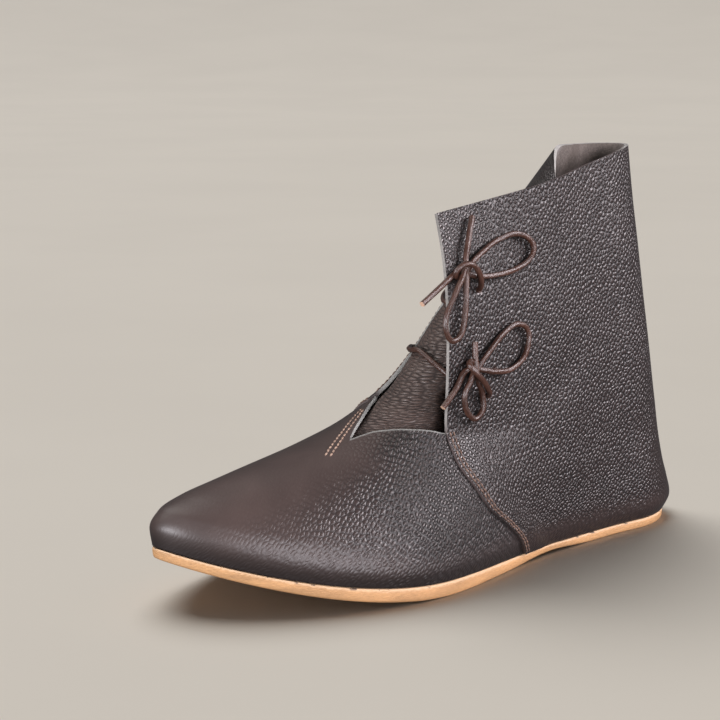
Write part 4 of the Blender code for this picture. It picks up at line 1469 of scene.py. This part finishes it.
def plate(name, profile, floor, top, paint):
    """A plate with the last's outline; the profile gives each ring's share of height and inset."""
    parts = both_ends(PLATE_PARTS)[1:-1]
    count = len(parts)
    size = 2 * count
    outer = side(SOLE_THICKNESS, LATERAL, 1)
    inner = side(SOLE_THICKNESS, MEDIAL, -1)
    points, edge, rings, faces = [], [], [], []
    for share, inset in profile:
        left = pick(outer - inset * normals(outer), parts)
        right = pick(inner + inset * normals(inner), parts)
        loop = np.concatenate([left, right[::-1]])
        z = np.array([floor(x) + share * (top - floor(x)) for x in loop[:, 0]])
        rings.append(len(points))
        points += np.column_stack([loop, z]).tolist()
        edge += [share] * len(loop)
    for low, high in zip(rings[:-1], rings[1:]):
        faces += loop_faces(low, high, size)
    for first, share, flip in ((rings[0], profile[0][0], True), (rings[-1], profile[-1][0], False)):
        rows = []
        for i in range(count):
            left, right = first + i, first + size - 1 - i
            middle = []
            for t in np.linspace(0.0, 1.0, PLATE_COLUMNS)[1:-1]:
                x, y = np.array(points[left][:2]) * (1 - t) + np.array(points[right][:2]) * t
                middle.append(len(points))
                points.append((x, y, floor(x) + share * (top - floor(x))))
                edge.append(share)
            rows.append([left] + middle + [right])
        for low, high in zip(rows[:-1], rows[1:]):
            for k in range(PLATE_COLUMNS - 1):
                face = (low[k], low[k + 1], high[k + 1], high[k])
                faces.append(face[::-1] if flip else face)
        for row, turned in ((rows[0], not flip), (rows[-1], flip)):
            faces.append(tuple(row[::-1] if turned else row))
    piece = new_piece(name, place(np.array(points)), faces, (paint,))
    set_mask(piece.data, "edge", edge)
    round_shading(piece, 50)
    return piece


def arch(x):
    """Height of the sole's floor: level at heel and forefoot, raised at the waist."""
    part = (x - ARCH_FROM) / (ARCH_TO - ARCH_FROM)
    return ARCH_RISE * math.sin(math.pi * min(max(part, 0.0), 1.0)) ** 2


class BOOT_OT_outsole(bpy.types.Operator):
    """Build the leather outsole with its rounded edge"""

    bl_idname = "boot.outsole"
    bl_label = "Outsole"

    def execute(self, context):
        inset = mm(sizes().sole_inset)
        profile = (
            (1.0, 2.5), (1.0, 0.45), (0.965, 0.12), (0.90, 0.0), (0.6, -0.05), (0.3, 0.1), (0.12, 0.28),
            (0.03, inset * 0.75), (0.0, inset + 0.5),
        )
        piece = plate("outsole_leather", profile, arch, SOLE_THICKNESS, sole_tan())
        finish_piece(piece, "sole_leather", "outsole")
        return {"FINISHED"}


class BOOT_OT_insole(bpy.types.Operator):
    """Build the insole inside the upper"""

    bl_idname = "boot.insole"
    bl_label = "Insole"

    def execute(self, context):
        inset = mm(sizes().insole_inset)
        foot = SOLE_THICKNESS + SEAT_GAP
        profile = ((1.0, inset + 0.8), (0.8, inset + 0.15), (0.4, inset), (0.0, inset + 0.2))
        piece = plate("insole_sock", profile, lambda x: foot, foot + mm(sizes().insole), insole_nap())
        finish_piece(piece, "insole_leather", "insole")
        return {"FINISHED"}


class BOOT_OT_stitching(bpy.types.Operator):
    """Sew the side seams, the inner front edge and the slit"""

    bl_idname = "boot.stitching"
    bl_label = "Stitching"

    def execute(self, context):
        seam = np.linspace(ROW_START, FLAP_FOOT + 1, ROW_POINTS)
        inner_seam = np.linspace(ROW_START, MEDIAL_JOIN - 2, ROW_POINTS)
        inner_edge = np.linspace(MEDIAL_JOIN, EDGE_SEWN_TO, ROW_POINTS)
        rows = []
        for away in ROW_SETBACKS:
            rows.append(edge_row(seam, quarter_outer, True, away))
            rows.append(edge_row(inner_seam, quarter_inner, False, away))
            rows.append(edge_row(inner_edge, quarter_inner, False, away + EDGE_SETBACK))
        joint = thread("thread_joint", colours().thread_joint)
        piece = stitches("seam_stitches", rows, thread("seam_thread", colours().thread_seam), joint)
        finish_piece(piece, "upper_leather")
        rows = [vamp_row(table) for table in SLIT_ROWS]
        piece = stitches("slit_stitches", rows, thread("slit_thread", colours().thread_slit), joint)
        finish_piece(piece, "upper_leather")
        return {"FINISHED"}


class BOOT_OT_lace_bars(bpy.types.Operator):
    """Run the lace from the inner holes over the tongue to the flap's holes"""

    bl_idname = "boot.lace_bars"
    bl_label = "Lace bars"

    def execute(self, context):
        for n, (start_z, ridge_z, hole_x, hole_z) in enumerate(CROSSINGS):
            hole = inner_hole(start_z)
            start = [ridge_point(start_z + rise, hole + past, out) for rise, past, out in BAR_START]
            lead = [ridge_point(ridge_z + t * (start_z - ridge_z), t * hole, BAR_LEAD_OUT) for t in BAR_LEAD]
            over = ridge_point(ridge_z, 0.0, BAR_OVER)
            end = [flap_point(hole_x, hole_z, out) for out in BAR_END]
            middle = 0.5 * (over + end[0]) + BAR_SWING
            points = (*start, *(lead if hole < LONG_CROSSING else ()), over, middle, *end)
            piece, _ = thong(f"lace_cross_{n + 1}", points, cut_ends=False)
            finish_piece(piece, "lace_leather", f"lace_bar_{n + 1}")
        return {"FINISHED"}


class BOOT_OT_bows(bpy.types.Operator):
    """Tie both bows on the flap"""

    bl_idname = "boot.bows"
    bl_label = "Bows"

    def execute(self, context):
        for bow, routes in BOWS.items():
            made = {}
            for part, route in routes.items():
                piece, line = thong(f"bow_{bow}_{part}", [flap_point(*spot) for spot in route])
                finish_piece(piece, "lace_leather", *(f"lace_{bow}_{name}" for name in BOW_NODES[part]))
                made[part] = (piece, line)
            for part in ("back", "down"):
                piece, line = made[part]
        return {"FINISHED"}


class BOOT_OT_stage(bpy.types.Operator):
    """Set the floor, the soft lights and the camera"""

    bl_idname = "boot.stage"
    bl_label = "Stage"

    def execute(self, context):
        floor = self.floor()
        world = bpy.data.worlds.new("studio_air")
        world.use_nodes = True
        air = world.node_tree.nodes["Background"]
        feed(world.node_tree, air, {"Color": AIR_COLOUR, "Strength": AIR_POWER})
        context.scene.world = world
        boot_only, floor_only = self.linked(floor, "EXCLUDE"), self.linked(floor, "INCLUDE")
        for name, settings in LAMPS.items():
            self.lamp(name, *settings, boot_only)
        sun = bpy.data.lights.new("floor_light", "SUN")
        sun.energy = FLOOR_LIGHT_POWER
        sun.angle = math.radians(FLOOR_LIGHT_SPREAD)
        self.aim("floor_light", sun, *FLOOR_LIGHT, floor_only)
        context.scene.view_settings.view_transform = "Standard"
        self.camera(context.scene)
        return {"FINISHED"}

    def floor(self):
        """A round floor that climbs gently far out."""
        points, faces = [], []
        turns = np.linspace(0.0, 2 * math.pi, FLOOR_SIDES, endpoint=False)
        for radius in FLOOR_RADII:
            climb = FLOOR_CLIMB * max(0.0, (radius - FLOOR_FLAT) / (FLOOR_RADII[-1] - FLOOR_FLAT)) ** 2
            points += [(radius * math.cos(turn), radius * math.sin(turn), climb) for turn in turns]
        for j in range(len(FLOOR_RADII) - 1):
            faces += loop_faces(FLOOR_SIDES * j, FLOOR_SIDES * (j + 1), FLOOR_SIDES)
        faces.append(tuple(range(FLOOR_SIDES)))
        floor = new_piece("studio_floor", points, faces, (floor_matte(),))
        round_shading(floor, 60)
        # The dark leather keeps its depth when it doesn't mirror the pale floor
        floor.visible_glossy = False
        return floor

    def camera(self, scene):
        """The camera at the photograph's angle."""
        camera = bpy.data.objects.new("camera", bpy.data.cameras.new("camera"))
        scene.collection.objects.link(camera)
        camera.data.lens = CAMERA_LENS
        camera.data.sensor_width = CAMERA_SENSOR
        camera.data.clip_end = CAMERA_END
        camera.location = Vector((np.array(CAMERA_PLACE) - SHIFT) * MM)
        camera.rotation_euler = (-direction(*CAMERA_VIEW)).to_track_quat("-Z", "Y").to_euler()
        scene.camera = camera

    def lamp(self, name, azimuth, height, distance, size, power, value, reach):
        """A soft light aimed at the boot; size is width and height."""
        light = bpy.data.lights.new(name, "AREA")
        light.shape = "RECTANGLE"
        light.size, light.size_y = size
        light.energy = power
        light.color = value
        self.aim(name, light, azimuth, height, distance, reach)

    def aim(self, name, light, azimuth, height, distance, reach):
        """Set a light up round the boot, for the pieces that it reaches."""
        lamp = bpy.data.objects.new(name, light)
        bpy.context.scene.collection.objects.link(lamp)
        back = direction(azimuth, height)
        lamp.location = LAMP_TARGET + back * distance
        lamp.rotation_euler = (-back).to_track_quat("-Z", "Y").to_euler()
        lamp.light_linking.receiver_collection = reach

    def linked(self, floor, state):
        """A light's reach with the floor left out or alone."""
        reach = bpy.data.collections.new(f"floor_{state.lower()}")
        reach.objects.link(floor)
        reach.collection_objects[0].light_linking.link_state = state
        return reach


def direction(azimuth, height):
    """Unit vector towards a viewer or light."""
    turn, lift = math.radians(azimuth), math.radians(height)
    return Vector((math.sin(turn) * math.cos(lift), -math.cos(turn) * math.cos(lift), math.sin(lift)))


class BOOT_PT_panel(bpy.types.Panel):
    """Sizes, colours and steps of the boot"""

    bl_idname = "BOOT_PT_panel"
    bl_label = "Ankle boot"
    bl_space_type = "VIEW_3D"
    bl_region_type = "UI"
    bl_category = "Boot"

    def draw(self, context):
        for group in (context.scene.boot_sizes, context.scene.boot_colours):
            box = self.layout.box()
            for key in group.bl_rna.properties.keys():
                if key not in ("rna_type", "name"):
                    box.prop(group, key)
        for step in STEPS:
            self.layout.operator(step.bl_idname)


STEPS = (
    BOOT_OT_stage, BOOT_OT_outsole, BOOT_OT_insole, BOOT_OT_vamp, BOOT_OT_quarter, BOOT_OT_tongue,
    BOOT_OT_stitching, BOOT_OT_lace_bars, BOOT_OT_bows,
)
CLASSES = (BootSizes, BootColours, *STEPS, BOOT_PT_panel)


def register():
    for made in CLASSES:
        bpy.utils.register_class(made)
    bpy.types.Scene.boot_sizes = PointerProperty(type=BootSizes)
    bpy.types.Scene.boot_colours = PointerProperty(type=BootColours)


def unregister():
    del bpy.types.Scene.boot_colours
    del bpy.types.Scene.boot_sizes
    for made in reversed(CLASSES):
        bpy.utils.unregister_class(made)


def main():
    register()
    for step in STEPS:
        family, action = step.bl_idname.split(".")
        getattr(getattr(bpy.ops, family), action)()


if __name__ == "__main__":
    main()
